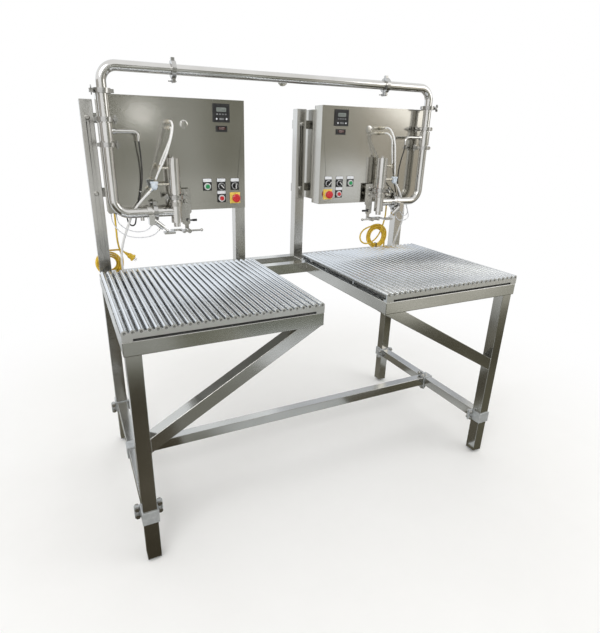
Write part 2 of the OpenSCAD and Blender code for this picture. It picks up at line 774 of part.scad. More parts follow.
// Selector with a grip bar, turned by an angle seen from the front, clockwise
module selector(x, angle) along_y([x, face_y, ctl_z[1]]) rotate([0, 0, angle]) {
  disc = 3;
  grip_l = bezel_d - 5;
  translate([0, 0, -disc - face_gap]) cylinder(d = bezel_d - 4, h = disc);
  translate([-4.5, -grip_l / 2, -14]) cube([9, grip_l, 14 - disc]);
  translate([0, 0, -disc]) cylinder(d = button_d, h = 15);
}
module left_mode_selector() color(black) selector(ctl_x[1], -45);
module right_mode_selector() color(black) selector(-ctl_x[1], -45);
module left_pump_selector() color(black) selector(ctl_x[0], 0);
module right_pump_selector() color(black) selector(-ctl_x[0], 45);

// Air valves on the back wall, behind the panel
module solenoid_banks() color(satin) pair() {
  wall_y = box_y - sheet;
  base = [150, 20, 50];
  valve = [28, 60, 42];
  translate([sx(enc_u0 + 150), wall_y - base[1], enc_z0 + 150]) {
    cube(base);
    for (i = [0:3])
      translate([8 + i * 36, -valve[1], 4]) cube(valve);
  }
}

// Product pipes
module ferrule(d = pipe_d) {
  cylinder(d = ferrule_d, h = ferrule_t);
  translate([0, 0, ferrule_t]) cylinder(d1 = ferrule_d, d2 = d, h = ferrule_t);
}

module quarter(d, turn) rotate([90, 0, 0]) rotate([0, 0, turn])
  rotate_extrude(angle = 90) translate([bend_r, 0]) circle(d = d);

module manifold_pipe() color(bright) {
  end = -sx(top_union_u) - seal_t / 2;
  difference() {
    union() {
      along_x([-end, pipe_y, manifold_z]) cylinder(d = pipe_d, h = 2 * end);
      pair() along_x([-end, pipe_y, manifold_z]) ferrule();
      along_y([0, pipe_y, manifold_z]) cylinder(d = inlet_d, h = inlet_l);
      translate([0, pipe_y + inlet_l, manifold_z]) rotate([90, 0, 0]) ferrule(inlet_d);
    }
    along_x([-end - 1, pipe_y, manifold_z]) cylinder(d = bore_d, h = 2 * end + 2);
    along_y([0, pipe_y, manifold_z]) cylinder(d = inlet_d - 2 * pipe_wall, h = inlet_l + 1);
  }
}

// Upper bend, solid: from the manifold's union round and down to the collar union
module upper_bend(d, over) {
  x1 = sx(top_union_u) - seal_t / 2 + over;
  z0 = collar_z + seal_t / 2 - over;
  along_x([riser_x + bend_r, pipe_y, manifold_z]) cylinder(d = d, h = x1 - riser_x - bend_r);
  translate([riser_x + bend_r, pipe_y, manifold_z - bend_r]) quarter(d, 90);
  translate([riser_x, pipe_y, z0]) cylinder(d = d, h = manifold_z - bend_r - z0);
}

module upper_pipes() color(bright) pair() {
  difference() {
    union() {
      upper_bend(pipe_d, 0);
      translate([sx(top_union_u) - seal_t / 2, pipe_y, manifold_z]) rotate([0, -90, 0]) ferrule();
      translate([riser_x, pipe_y, collar_z + seal_t / 2]) ferrule();
    }
    upper_bend(bore_d, 1);
  }
  l = collar_z - meter_z1 - seal_t;
  translate([riser_x, pipe_y, meter_z1 + seal_t / 2]) spool(l);
}

module spool(l) difference() {
  union() {
    cylinder(d = pipe_d, h = l);
    ferrule();
    translate([0, 0, l]) mirror([0, 0, 1]) ferrule();
  }
  translate([0, 0, -1]) cylinder(d = bore_d, h = l + 2);
}

// Flow meter with a bent conduit for its cable
module flow_meters() color(bright) pair() {
  l = meter_len - seal_t;
  mid = meter_len * 0.53;
  conduit_d = 13;
  conduit_l = 14.7;
  bend = 20;
  elbow_x = sx(176);
  translate([riser_x, pipe_y, meter_z0 + seal_t / 2]) difference() {
    union() {
      spool(l);
      translate([0, 0, 12]) cylinder(d = meter_d, h = l - 24);
      translate([0, 0, mid]) rotate([0, 90, 0]) cylinder(d = 22, h = meter_d / 2 + 8);
      translate([0, 0, mid]) rotate([0, 90, 0]) cylinder(d = conduit_d, h = elbow_x - riser_x);
      translate([elbow_x - riser_x, 0, mid - bend]) rotate([90, 0, 0])
        rotate_extrude(angle = 90) translate([bend, 0]) circle(d = conduit_d);
      translate([elbow_x - riser_x + bend, 0, mid - bend - conduit_l])
        cylinder(d = conduit_d, h = conduit_l);
    }
    translate([0, 0, -1]) cylinder(d = bore_d, h = l + 2);
  }
}

// Lower bend, solid: from the meter down and round to the lower run's union
module lower_bend(d, over) {
  z1 = meter_z0 - seal_t / 2 + over;
  x1 = sx(run_union_u) - seal_t / 2 + over;
  translate([riser_x, pipe_y, run_z + bend_r]) cylinder(d = d, h = z1 - run_z - bend_r);
  translate([riser_x + bend_r, pipe_y, run_z + bend_r]) quarter(d, 180);
  along_x([riser_x + bend_r, pipe_y, run_z]) cylinder(d = d, h = x1 - riser_x - bend_r);
}

module lower_pipes() color(bright) pair() difference() {
  union() {
    lower_bend(pipe_d, 0);
    translate([riser_x, pipe_y, meter_z0 - seal_t / 2]) mirror([0, 0, 1]) ferrule();
    translate([sx(run_union_u) - seal_t / 2, pipe_y, run_z]) rotate([0, -90, 0]) ferrule();
    translate([sx(run_union_u - 54), pipe_y, run_z - pipe_d / 2 - 12]) cylinder(d = 15, h = 16);
  }
  lower_bend(bore_d, 1);
}

// The six unions of a station; local Z is the pipe's axis and the wing nut is on local +X
module at_unions() {
  translate([sx(top_union_u), pipe_y, manifold_z]) rotate([0, 90, 0]) children();
  translate([riser_x, pipe_y, collar_z]) rotate([0, 0, 180]) children();
  translate([riser_x, pipe_y, meter_z1]) children();
  translate([riser_x, pipe_y, meter_z0]) children();
  translate([sx(run_union_u), pipe_y, run_z]) rotate([0, -90, 0]) children();
  translate([hx, pipe_y, joint_z]) rotate([0, 0, 180]) children();
}

lug_x = clamp_d / 2 + 7;
swing_d = 6;
module clamp_halves() difference() {
  union() {
    cylinder(d = clamp_d, h = clamp_w, center = true);
    translate([lug_x - 4, 0, 0]) cube([20, 20, 13], center = true);
    translate([-lug_x + 5, 0, 0]) cube([14, 15, 13], center = true);
  }
  cylinder(d = ferrule_d + 2 * hole_gap, h = clamp_w - 2 * lip_w, center = true);
  cylinder(d = pipe_d + 2.4, h = clamp_w + 2, center = true);
  linear_extrude(clamp_w + 2, center = true)
    polygon([[-lug_x - 5, -0.2], [lug_x + 9, -1.8], [lug_x + 9, 1.8], [-lug_x - 5, 0.2]]);
  along_y([lug_x, -20, 0]) cylinder(d = swing_d + hole_gap, h = 40);
}

module swing_bolt() along_y([lug_x, -10, 0]) {
  translate([0, 0, -5]) cylinder(d = 11, h = 5);
  cylinder(d = swing_d, h = 34);
}

module tri_clamps() color(bright) pair() at_unions() {
  clamp_halves();
  swing_bolt();
}

module wing_nut() along_y([lug_x, 10, 0]) difference() {
  union() {
    cylinder(d = 13, h = 11);
    for (s = [-1, 1])
      translate([0, 9 * s, 11]) rotate([0, 90, 0]) cylinder(d = 15, h = 4, center = true);
  }
  translate([0, 0, -1]) cylinder(d = swing_d + seat_gap, h = 40);
}

module wing_nuts() color(bright) pair() at_unions() wing_nut();

module seals() color(rubber) pair() {
  at_unions() difference() {
    cylinder(d = ferrule_d - 1, h = seal_t, center = true);
    cylinder(d = bore_d, h = seal_t + 2, center = true);
  }
  translate([sx(enc_u0), rim_y - seal_t, enc_z0]) difference() {
    cube([enc_w, seal_t, enc_h]);
    translate([back_inset, -1, back_inset])
      cube([enc_w - 2 * back_inset, seal_t + 2, enc_h - 2 * back_inset]);
  }
}

// Filling heads
module valve_bodies() color(bright) pair() {
  seat_h = 12;
  run_x = sx(run_union_u) + seal_t / 2;
  top = joint_z - seal_t / 2;
  difference() {
    union() {
      translate([hx, pipe_y, body_z0]) cylinder(d = body_d, h = joint_z - neck_h - body_z0);
      translate([hx, pipe_y, body_z0]) cylinder(d = pipe_d, h = top - body_z0);
      translate([hx, pipe_y, top]) mirror([0, 0, 1]) ferrule();
      along_x([run_x, pipe_y, run_z]) ferrule();
      along_x([run_x, pipe_y, run_z]) cylinder(d = pipe_d, h = hx - run_x);
    }
    along_x([run_x - 1, pipe_y, run_z]) cylinder(d = bore_d, h = hx - run_x);
    translate([hx, pipe_y, body_z0 + seat_h]) cylinder(d = bore_d, h = top - body_z0);
    translate([hx, pipe_y, body_z0 - 1]) cylinder(d = nozzle_d, h = seat_h + 2);
  }
}

module actuators() color(bright) pair() {
  difference() {
    union() {
      translate([hx, pipe_y, joint_z + seal_t / 2]) ferrule();
      translate([hx, pipe_y, joint_z + seal_t / 2]) cylinder(d = pipe_d, h = neck_h);
      translate([hx, pipe_y, act_z0]) cylinder(d = actuator_d, h = act_z1 - act_z0);
    }
    translate([hx, pipe_y, joint_z]) cylinder(d = stem_d + 2 * run_gap, h = 2 * neck_h);
    translate([hx, pipe_y, act_z0 + act_floor]) cylinder(d = act_bore, h = actuator_h);
    for (z = [upper_z, lower_z])
      along_x([hx - actuator_d, pipe_y, z]) cylinder(d = nipple_d + seat_gap, h = actuator_d);
  }
  translate([hx, pipe_y, act_z1]) {
    cylinder(d = actuator_d, h = 7);
    cylinder(d = 15, h = 12);
    translate([0, 0, 12]) cylinder(d = 11 * hex, h = 6, $fn = 6);
  }
}

// Piston, rod and nozzle plug in one turned piece
module fill_stem() translate([hx, pipe_y, 0]) {
  piston_z = (upper_z + lower_z) / 2;
  nozzle_out = stem_stroke + 9;
  nozzle_l = nozzle_out + 9;
  nozzle_z = body_z0 - nozzle_out;
  translate([0, 0, nozzle_z]) cylinder(d = nozzle_d - 4 * run_gap, h = nozzle_l);
  translate([0, 0, nozzle_z]) cylinder(d = stem_d, h = piston_z - nozzle_z);
  translate([0, 0, piston_z]) cylinder(d = act_bore - 2 * run_gap, h = 14);
}
module left_fill_stem() color(rubber) fill_stem();
module right_fill_stem() color(rubber) right_side() fill_stem();

module pivot_pin(x, z, d, l) along_y([x, bracket_y - l, z]) {
  cylinder(d = d, h = l + bracket_t);
  translate([0, 0, -3]) cylinder(d = d + 5, h = 3);
}

// Plate on two stand-offs: it carries the valve body in a saddle, and the two lever pivots
module head_brackets() color(bright) pair() {
  x0 = sx(bracket_u);
  z1 = joint_z + 30;
  saddle_z = joint_z - neck_h - 22;
  step_z = z1 - 98;
  foot_z = cap_z - 14;
  low_w = bracket_w - bracket_step;
  hang_x = pivot_x - x0;
  difference() {
    union() {
      xz(bracket_y, bracket_t) translate([x0, 0]) polygon([
        [0, z1], [bracket_w, z1], [bracket_w, step_z], [low_w, step_z - bracket_step], [low_w, foot_z],
        [hang_x + 8, foot_z - 7], [hang_x + 8, fork_z - 10], [hang_x - 8, fork_z - 10],
        [hang_x - 8, foot_z - 7], [0, foot_z]]);
      for (z = [z1 - 21, z1 - 51]) {
        along_y([x0 + low_w / 2, bracket_y, z]) cylinder(d = 16, h = panel_y - bracket_y);
        along_y([x0 + low_w / 2, bracket_y - 5, z]) cylinder(d1 = 13, d2 = 20, h = 5);
      }
      translate([hx, pipe_y, saddle_z]) cylinder(d = body_d + 8, h = 18);
      translate([hx, bracket_y - 8, saddle_z]) cube([x0 + 4 - hx, bracket_t + 8, 18]);
      pivot_pin(pivot_x, fork_z, pivot_d, bracket_y - fork_boss_y + face_gap);
      pivot_pin(cap_x, cap_z, cap_pin_d, cap_boss_l + 2 * face_gap);
    }
    translate([hx, pipe_y, body_z0]) cylinder(d = body_d + seat_gap, h = 3 * body_d);
  }
}

// Forked lever that lifts the spout to the nozzle, with a ball handle on its inner end
module spout_fork() difference() {
  back_y = pipe_y + fork_half;
  front_y = pipe_y - 40;
  handle_y = pipe_y - 13;
  handle_l = 52;
  union() {
    translate([hx - fork_half, front_y, fork_z - fork_t / 2])
      cube([2 * fork_half, back_y - front_y, fork_t]);
    translate([rod_x - 14, rod_y - 9, fork_z - fork_t / 2])
      cube([hx - fork_half - rod_x + 16, 32, fork_t]);
    translate([hx + slot_w / 2 + 2, pipe_y - 24, fork_z - fork_t / 2])
      cube([pivot_x - hx - slot_w / 2, 34, fork_t]);
    along_y([pivot_x, fork_boss_y, fork_z])
      cylinder(d = pivot_d + 10, h = bracket_y - fork_boss_y - face_gap);
    along_x([pivot_x, handle_y, fork_z]) cylinder(d = 8, h = handle_l);
    translate([pivot_x + handle_l + 3, handle_y, fork_z]) sphere(d = 13);
  }
  translate([hx, pipe_y, fork_z - fork_t]) cylinder(d = slot_w, h = 2 * fork_t);
  translate([hx - slot_w / 2, front_y - 1, fork_z - fork_t])
    cube([slot_w, pipe_y - front_y + 1, 2 * fork_t]);
  along_y([pivot_x, pipe_y - 50, fork_z]) cylinder(d = pivot_d + 2 * run_gap, h = 80);
}
module left_spout_fork() color(bright) spout_fork();
module right_spout_fork() color(bright) right_side() spout_fork();

// Tilted air cylinder on a block that clamps round the lower run
module clamp_cylinders() color(steel) pair() {
  rear = cyl_nose + cyl_l;
  cap = 5;
  on_rod() translate([0, 0, -rear]) difference() {
    cylinder(d = cyl_d, h = cyl_l);
    translate([0, 0, cap]) cylinder(d = cyl_bore, h = cyl_l - 2 * cap);
    translate([0, 0, cap]) cylinder(d = clamp_rod_d + 2 * run_gap, h = cyl_l);
  }
  difference() {
    union() {
      along_x([sx(run_union_u - 34), pipe_y, run_z]) cylinder(d = pipe_d + 14, h = 18);
      translate([sx(run_union_u - 34), rod_y - cyl_d / 2 - 1, run_z - 44])
        cube([23, pipe_y - rod_y - 3, 40]);
    }
    along_x([sx(run_union_u - 60), pipe_y, run_z]) cylinder(d = pipe_d + seat_gap, h = 80);
    on_rod() translate([0, 0, -rear - 1]) cylinder(d = cyl_d + seat_gap, h = rear);
  }
  for (s = [8, rear - 32])
    on_rod() translate([cyl_d / 2 - 0.6, 0, s - rear]) rotate([0, 90, 0]) cylinder(d = 8, h = 12);
}

module clamp_rod() on_rod() {
  piston_l = 7;
  stroke_back = cyl_nose + 32;
  sphere(d = rod_ball);
  translate([0, 0, -stroke_back]) cylinder(d = clamp_rod_d, h = stroke_back);
  translate([0, 0, -stroke_back - piston_l])
    cylinder(d = cyl_bore - 2 * run_gap, h = piston_l);
}
module left_clamp_rod() color(bright) clamp_rod();
module right_clamp_rod() color(bright) right_side() clamp_rod();

module cap_lever() difference() {
  union() {
    along_y([cap_x, bracket_y - cap_boss_l - face_gap, cap_z]) cylinder(d = 14, h = cap_boss_l);
    along_x([cap_x, bracket_y - 8, cap_z]) cylinder(d = 7, h = 36);
    along_x([cap_x + 18, bracket_y - 8, cap_z]) cylinder(d = 10, h = 18);
  }
  along_y([cap_x, bracket_y - 20, cap_z]) cylinder(d = cap_pin_d + 2 * run_gap, h = 30);
}
module left_cap_lever() color(black) cap_lever();
module right_cap_lever() color(black) right_side() cap_lever();

// Bulkhead fittings on the panel, and the elbow and quick-exhaust valve on the actuator
module air_fittings() color(brass) pair() {
  mouth = 11;
  lean = [0, 26, -50];
  for (z = port_zs)
    along_y([port_x, panel_y - port_l, z]) {
      cylinder(d = port_d, h = port_l + sheet + 12);
      translate([0, 0, 14]) cylinder(d = port_d + 3, h = 20);
      translate([0, 0, port_l - 8]) cylinder(d = 17 * hex, h = 8, $fn = 6);
      translate([0, 0, port_l + sheet]) cylinder(d = 17 * hex, h = 6, $fn = 6);
    }
  elbow_x = sx(head_u - 59);
  seat_x = hx - actuator_d / 2 + port_in;
  along_x([elbow_x, pipe_y, upper_z]) cylinder(d = nipple_d, h = seat_x - elbow_x);
  translate([elbow_x, pipe_y, upper_z - 7]) cylinder(d = mouth + 2, h = 14);
  translate([elbow_x, pipe_y, upper_z]) rotate(lean) cylinder(d = mouth, h = 15);
  valve_x = sx(head_u - 83);
  along_x([valve_x, pipe_y, lower_z]) cylinder(d = nipple_d, h = seat_x - valve_x);
  // the quarter turn keeps the mouth's seam line away from the rim it comes out of
  translate([valve_x, pipe_y, lower_z]) rotate(lean) rotate(90) cylinder(d = mouth, h = 24);
  translate([valve_x, pipe_y, lower_z - 8]) {
    cylinder(d = 28, h = 21);
    sphere(d = 28);
    rotate([0, 225, -12]) cylinder(d = mouth + 2, h = 25);
  }
}

gland_spots = [[134, 39], [91, 28], [72, 50]];
lead_spots = [[92, 118], [152, 118]];
gland_d = 9;
// Gland under a sheet: its thread passes through, with a nut inside and a cone below
module gland(x, y, z, d, drop) translate([x, y, z]) {
  cylinder(d = gland_d, h = sheet + 8);
  translate([0, 0, sheet]) cylinder(d = 15 * hex, h = 4, $fn = 6);
  translate([0, 0, -6]) cylinder(d = 15 * hex, h = 6, $fn = 6);
  translate([0, 0, -drop]) cylinder(d1 = d + 2, d2 = 14, h = drop - 6);
}

module cable_glands() color(black) {
  pair() {
    for (i = [0:2])
      gland(sx(gland_spots[i][0]), panel_y + gland_spots[i][1], enc_z0, i == 0 ? cable_d : line_d,
        i == 0 ? 16 : 8);
  }
  gland(sx(lead_spots[0][0]), panel_y + lead_spots[0][1], box_z0, lead_d, 26);
  gland(-sx(lead_spots[1][0]), panel_y + lead_spots[1][1], box_z0, lead_d, 26);
}

// Tubes and cords
module air_tubes() color(white) pair() {
  sweep(placed(route_upper_air), tube_d);
  sweep(placed(route_lower_air), tube_d);
  sweep(placed(route_line_rear), line_d);
  sweep(placed(route_line_nose), line_d);
}
module exhaust_hoses() color(white) pair() sweep(placed(route_exhaust), hose_d);
module meter_cables() color(black) pair() sweep(placed(route_meter), cable_d);
module left_power_lead() color(yellow) {
  sweep(placed(route_left_lead), lead_d);
  sweep(placed(route_left_tail), lead_d);
}
module left_lead_coil() color(yellow) sweep(left_coil, lead_d, 6);
module right_power_lead() color(yellow) right_side() {
  sweep(placed(route_right_lead), lead_d);
  sweep(placed(route_right_tail), lead_d);
}
module right_lead_coil() color(yellow) sweep(right_coil, lead_d, 6);

// Moulded plug with its cord end at the origin and its blades along +Z
module lead_plug() {
  translate([0, 0, seat_gap]) cylinder(d1 = lead_d + 3, d2 = 18, h = 18);
  translate([-13, -10, 18]) cube([26, 20, 26]);
  translate([0, 0, 40]) cylinder(d = 34, h = 7);
  for (x = [-6.5, 6.5])
    translate([x - 0.8, -3.2, 47]) cube([1.6, 6.4, 16]);
  translate([0, 7, 47]) cylinder(d = 4.8, h = 19);
}
module lead_plugs() color(yellow) {
  left_end = placed(route_left_tail)[len(route_left_tail) - 1];
  right_end = placed(route_right_tail)[len(route_right_tail) - 1];
  translate(left_end) rotate([0, 130, 0]) lead_plug();
  right_side() translate(right_end) rotate([180, 0, 0]) lead_plug();
}

front_legs();
rear_posts();
rear_rails();
table_frames();
braces();
lower_side_rails();
lower_stretcher();
tube_clamps();
frame_bolts();
leg_feet();
mount_straps();
drip_trays();
enclosure_covers();
enclosure_backs();
panel_instruments();
legend_plates();
estop_plates();
panel_hardware();
solenoid_banks();
manifold_pipe();
upper_pipes();
flow_meters();
lower_pipes();
tri_clamps();
wing_nuts();
seals();
valve_bodies();
actuators();
head_brackets();
clamp_cylinders();
air_fittings();
cable_glands();
air_tubes();
exhaust_hoses();
meter_cables();
left_power_lead();
left_lead_coil();
right_power_lead();
right_lead_coil();
lead_plugs();
left_start_button();
right_start_button();
left_stop_button();
right_stop_button();
left_estop_head();
right_estop_head();
left_mode_selector();
right_mode_selector();
left_pump_selector();
right_pump_selector();
left_fill_stem();
right_fill_stem();
left_spout_fork();
right_spout_fork();
left_clamp_rod();
right_clamp_rod();
left_cap_lever();
right_cap_lever();
left_grate();
right_grate();
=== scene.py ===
# %% [markdown]
# # A twin-station bag-in-box filler in stainless steel
# Two mirrored filling stations share one square-tube frame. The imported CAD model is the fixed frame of
# this scene: its objects are already in place, in metres, so what is left to do is looks. This lesson
# sets the camera, lays the cords, builds the finishes and adds the small parts that sit on the CAD.

# %% Load the frame
import bpy
import bmesh
import math
from mathutils import Matrix, Vector


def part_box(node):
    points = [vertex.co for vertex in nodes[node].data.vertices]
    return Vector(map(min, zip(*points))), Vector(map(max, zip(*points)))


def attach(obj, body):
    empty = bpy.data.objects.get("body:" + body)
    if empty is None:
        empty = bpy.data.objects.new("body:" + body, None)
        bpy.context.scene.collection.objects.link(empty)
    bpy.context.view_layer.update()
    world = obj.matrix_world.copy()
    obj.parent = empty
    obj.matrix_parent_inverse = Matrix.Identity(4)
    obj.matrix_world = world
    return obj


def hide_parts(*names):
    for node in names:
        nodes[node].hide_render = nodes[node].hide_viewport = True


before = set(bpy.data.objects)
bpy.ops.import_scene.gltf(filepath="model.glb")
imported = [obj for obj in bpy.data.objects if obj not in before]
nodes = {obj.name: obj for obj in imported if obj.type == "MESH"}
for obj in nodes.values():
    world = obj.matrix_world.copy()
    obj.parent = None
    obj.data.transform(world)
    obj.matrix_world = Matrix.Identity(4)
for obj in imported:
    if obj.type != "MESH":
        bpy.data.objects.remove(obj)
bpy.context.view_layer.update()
scene = bpy.context.scene

# %% [markdown]
# ## The camera
# The photograph was taken by a standing person with a fairly wide lens, to the left of the machine and
# looking down on the tables. The position and angles come from the known lines of the frame: the posts
# are vertical, and the beams run along X and Y. A camera can also be aimed with a Track To constraint,
# but a plain matrix keeps the small roll of the hand-held picture.

# %% Camera
def show(name, data):
    made = bpy.data.objects.new(name, data)
    scene.collection.objects.link(made)
    return made


EYE = Vector((-0.9478, -1.8168, 1.495))
YAW, PITCH, ROLL = (math.radians(a) for a in (25.26, 20.84, 1.11))
look = Vector((math.sin(YAW) * math.cos(PITCH), math.cos(YAW) * math.cos(PITCH), -math.sin(PITCH)))
level = Vector((math.cos(YAW), -math.sin(YAW), 0))
upright = level.cross(look)
cam_x = math.cos(ROLL) * level + math.sin(ROLL) * upright
cam_y = math.cos(ROLL) * upright - math.sin(ROLL) * level
turn = Matrix((cam_x, cam_y, -look)).transposed().to_4x4()
camera = show("camera", bpy.data.cameras.new("camera"))
camera.matrix_world = Matrix.Translation(EYE) @ turn
camera.data.lens = 26.487
camera.data.shift_x = 0.02488
camera.data.shift_y = -0.0031
scene.camera = camera
print("camera", camera.data.lens, "mm at", tuple(EYE))

# %% [markdown]
# ## Shader groups
# Several finishes share the same effects: the fine lines of brushing, slow clouds of colour where hands
# and cloths have passed, the tiny grain of moulded plastic, and floor dust low on the legs. Each effect
# could be copied into every material. Built once as a node group with named sockets, it is tuned in one
# place and every material sets its own values.

# %% A helper for node groups
def new_group(name, inputs, outputs):
    tree = bpy.data.node_groups.new(name, "ShaderNodeTree")
    for label, kind, value in inputs:
        socket = tree.interface.new_socket(label, in_out="INPUT", socket_type=kind)
        socket.default_value = value
    for label in outputs:
        kind = "NodeSocketColor" if label == "Colour" else "NodeSocketFloat"
        tree.interface.new_socket(label, in_out="OUTPUT", socket_type=kind)
    return tree, tree.nodes.new("NodeGroupInput"), tree.nodes.new("NodeGroupOutput")


def add(tree, kind, links=(), **settings):
    """A shader node of a kind such as Math, with its inputs linked to sockets or set to values."""
    node = tree.nodes.new("ShaderNode" + kind)
    for key, value in settings.items():
        setattr(node, key, value)
    for socket, source in dict(links).items():
        if isinstance(source, bpy.types.NodeSocket):
            tree.links.new(source, node.inputs[socket])
        else:
            node.inputs[socket].default_value = source
    return node


# %% Brushing: noise stretched along the polishing direction
def make_brushing():
    tree, given, made = new_group(
        "Brushing", [("Stretch", "NodeSocketVector", (1, 1, 1)), ("Size", "NodeSocketFloat", 900.0)],
        ["Lines"])
    place = add(tree, "TexCoord")
    along = add(tree, "VectorMath", {0: place.outputs["Object"], 1: given.outputs["Stretch"]},
                operation="MULTIPLY")
    noise = add(tree, "TexNoise", {"Vector": along.outputs[0], "Scale": given.outputs["Size"],
                                   "Detail": 4.0, "Roughness": 0.65})
    spread = add(tree, "MapRange", {"Value": noise.outputs[0], "From Min": 0.3, "From Max": 0.7})
    tree.links.new(spread.outputs[0], made.inputs["Lines"])
    return tree


brushing = make_brushing()
print("group", brushing.name)

# %% Clouding: slow changes of tone over a hand's width
def make_clouding():
    tree, given, made = new_group(
        "Clouding", [("Scale", "NodeSocketFloat", 4.0), ("Contrast", "NodeSocketFloat", 0.25)],
        ["Cloud", "Fine"])
    place = add(tree, "TexCoord")
    noise = add(tree, "TexNoise",
                {"Vector": place.outputs["Object"], "Scale": given.outputs["Scale"], "Detail": 3.0})
    low = add(tree, "Math", {0: 0.5, 1: given.outputs["Contrast"]}, operation="SUBTRACT")
    high = add(tree, "Math", {0: 0.5, 1: given.outputs["Contrast"]}, operation="ADD")
    cloud = add(tree, "MapRange", {"Value": noise.outputs[0], "From Min": low.outputs[0],
                                   "From Max": high.outputs[0]}, interpolation_type="SMOOTHSTEP")
    more = add(tree, "Math", {0: given.outputs["Scale"], 1: 9.0}, operation="MULTIPLY")
    fine = add(tree, "TexNoise", {"Vector": place.outputs["Object"], "Scale": more.outputs[0],
                                  "Detail": 5.0, "Roughness": 0.7})
    tree.links.new(cloud.outputs[0], made.inputs["Cloud"])
    tree.links.new(fine.outputs[0], made.inputs["Fine"])
    return tree


clouding = make_clouding()
print("group", clouding.name)

# %% Moulded grain: the fine spark texture of plastic and rubber
def make_grain():
    tree, given, made = new_group("Moulded grain", [("Size", "NodeSocketFloat", 1400.0)], ["Grain", "Rub"])
    place = add(tree, "TexCoord")
    fine = add(tree, "TexNoise",
               {"Vector": place.outputs["Object"], "Scale": given.outputs["Size"], "Detail": 2.0})
    rub = add(tree, "TexNoise", {"Vector": place.outputs["Object"], "Scale": 60.0, "Detail": 4.0})
    worn = add(tree, "MapRange", {"Value": rub.outputs[0], "From Min": 0.42, "From Max": 0.68})
    tree.links.new(fine.outputs[0], made.inputs["Grain"])
    tree.links.new(worn.outputs[0], made.inputs["Rub"])
    return tree


grain = make_grain()
print("group", grain.name)

# %% Floor dust: a mask that fades out above the floor
def make_dust():
    tree, given, made = new_group("Floor dust", [("Height", "NodeSocketFloat", 0.3)], ["Dust"])
    place = add(tree, "TexCoord")
    axes = add(tree, "SeparateXYZ", {0: place.outputs["Object"]})
    low = add(tree, "MapRange", {"Value": axes.outputs["Z"], "From Min": given.outputs["Height"],
                                 "From Max": 0.0})
    noise = add(tree, "TexNoise", {"Vector": place.outputs["Object"], "Scale": 35.0, "Detail": 6.0})
    both = add(tree, "Math", {0: low.outputs[0], 1: noise.outputs[0]}, operation="MULTIPLY")
    tree.links.new(both.outputs[0], made.inputs["Dust"])
    return tree


dust = make_dust()
print("group", dust.name)

# %% [markdown]
# ## Finishes
# A finish is a Principled shader whose colour, roughness and bump come from the groups. Steel is a metal:
# its colour is the tint of what it mirrors, and the brushing lines change how sharp the mirror image is.
# Plastics are dielectrics with a moulded grain. Values that don't change over the surface are set
# straight on the shader, so they also survive an export.

# %% A helper for materials
def blank(name, **sockets):
    material = bpy.data.materials.new(name)
    material.use_nodes = True
    shader = material.node_tree.nodes["Principled BSDF"]
    for label, value in sockets.items():
        shader.inputs[label.replace("_", " ")].default_value = value
    return material, material.node_tree, shader


def use(tree, group, **values):
    return add(tree, "Group", values, node_tree=group)


def mix(tree, factor, low, high):
    node = add(tree, "Mix", data_type="RGBA")
    tree.links.new(factor, node.inputs[0])
    for socket, colour in ((node.inputs[6], low), (node.inputs[7], high)):
        if isinstance(colour, bpy.types.NodeSocket):
            tree.links.new(colour, socket)
        else:
            socket.default_value = (*colour, 1)
    return node.outputs[2]


def ranged(tree, value, low, high):
    return add(tree, "MapRange", {"Value": value, "To Min": low, "To Max": high}).outputs[0]


def bump(tree, shader, height, strength, distance):
    node = add(tree, "Bump", {"Height": height, "Strength": strength, "Distance": distance})
    tree.links.new(node.outputs[0], shader.inputs["Normal"])


# %% [markdown]
# ### Stainless steel
# The tubes, sheets and pipes are one alloy with different surfaces: belt-brushed square tube, satin
# sheet, polished dairy pipe, and dull seats where the grates rest, whose dark colour is painted shade
# in the gap under the comb bars. One function makes them all, because only the tint, the roughness and
# the direction of the brushing differ. A photograph texture would show one piece only; stretched noise
# follows every part in its own direction.

# %% Steel finishes
finish = {}
DUST = (0.16, 0.15, 0.13)


def steel(name, light, deep, rough, stretch, size=900.0, cloud=3.0, relief=0.05, dusty=0.0):
    material, tree, shader = blank(name, Metallic=1.0)
    lines = use(tree, brushing, Stretch=stretch, Size=size).outputs["Lines"]
    tone = use(tree, clouding, Scale=cloud)
    colour = mix(tree, tone.outputs["Cloud"], deep, light)
    streak = mix(tree, ranged(tree, lines, 0.0, 0.12), colour, deep)
    if dusty:
        grey = ranged(tree, use(tree, dust, Height=0.35).outputs["Dust"], 0.0, dusty)
        streak = mix(tree, grey, streak, DUST)
    tree.links.new(streak, shader.inputs["Base Color"])
    blotch = ranged(tree, tone.outputs["Fine"], rough * 0.85, rough * 1.15)
    wear = add(tree, "Math", {0: blotch, 1: ranged(tree, lines, 0.0, rough * 0.2)}, operation="ADD")
    tree.links.new(wear.outputs[0], shader.inputs["Roughness"])
    bump(tree, shader, lines, relief, 0.0004)
    finish[name] = material


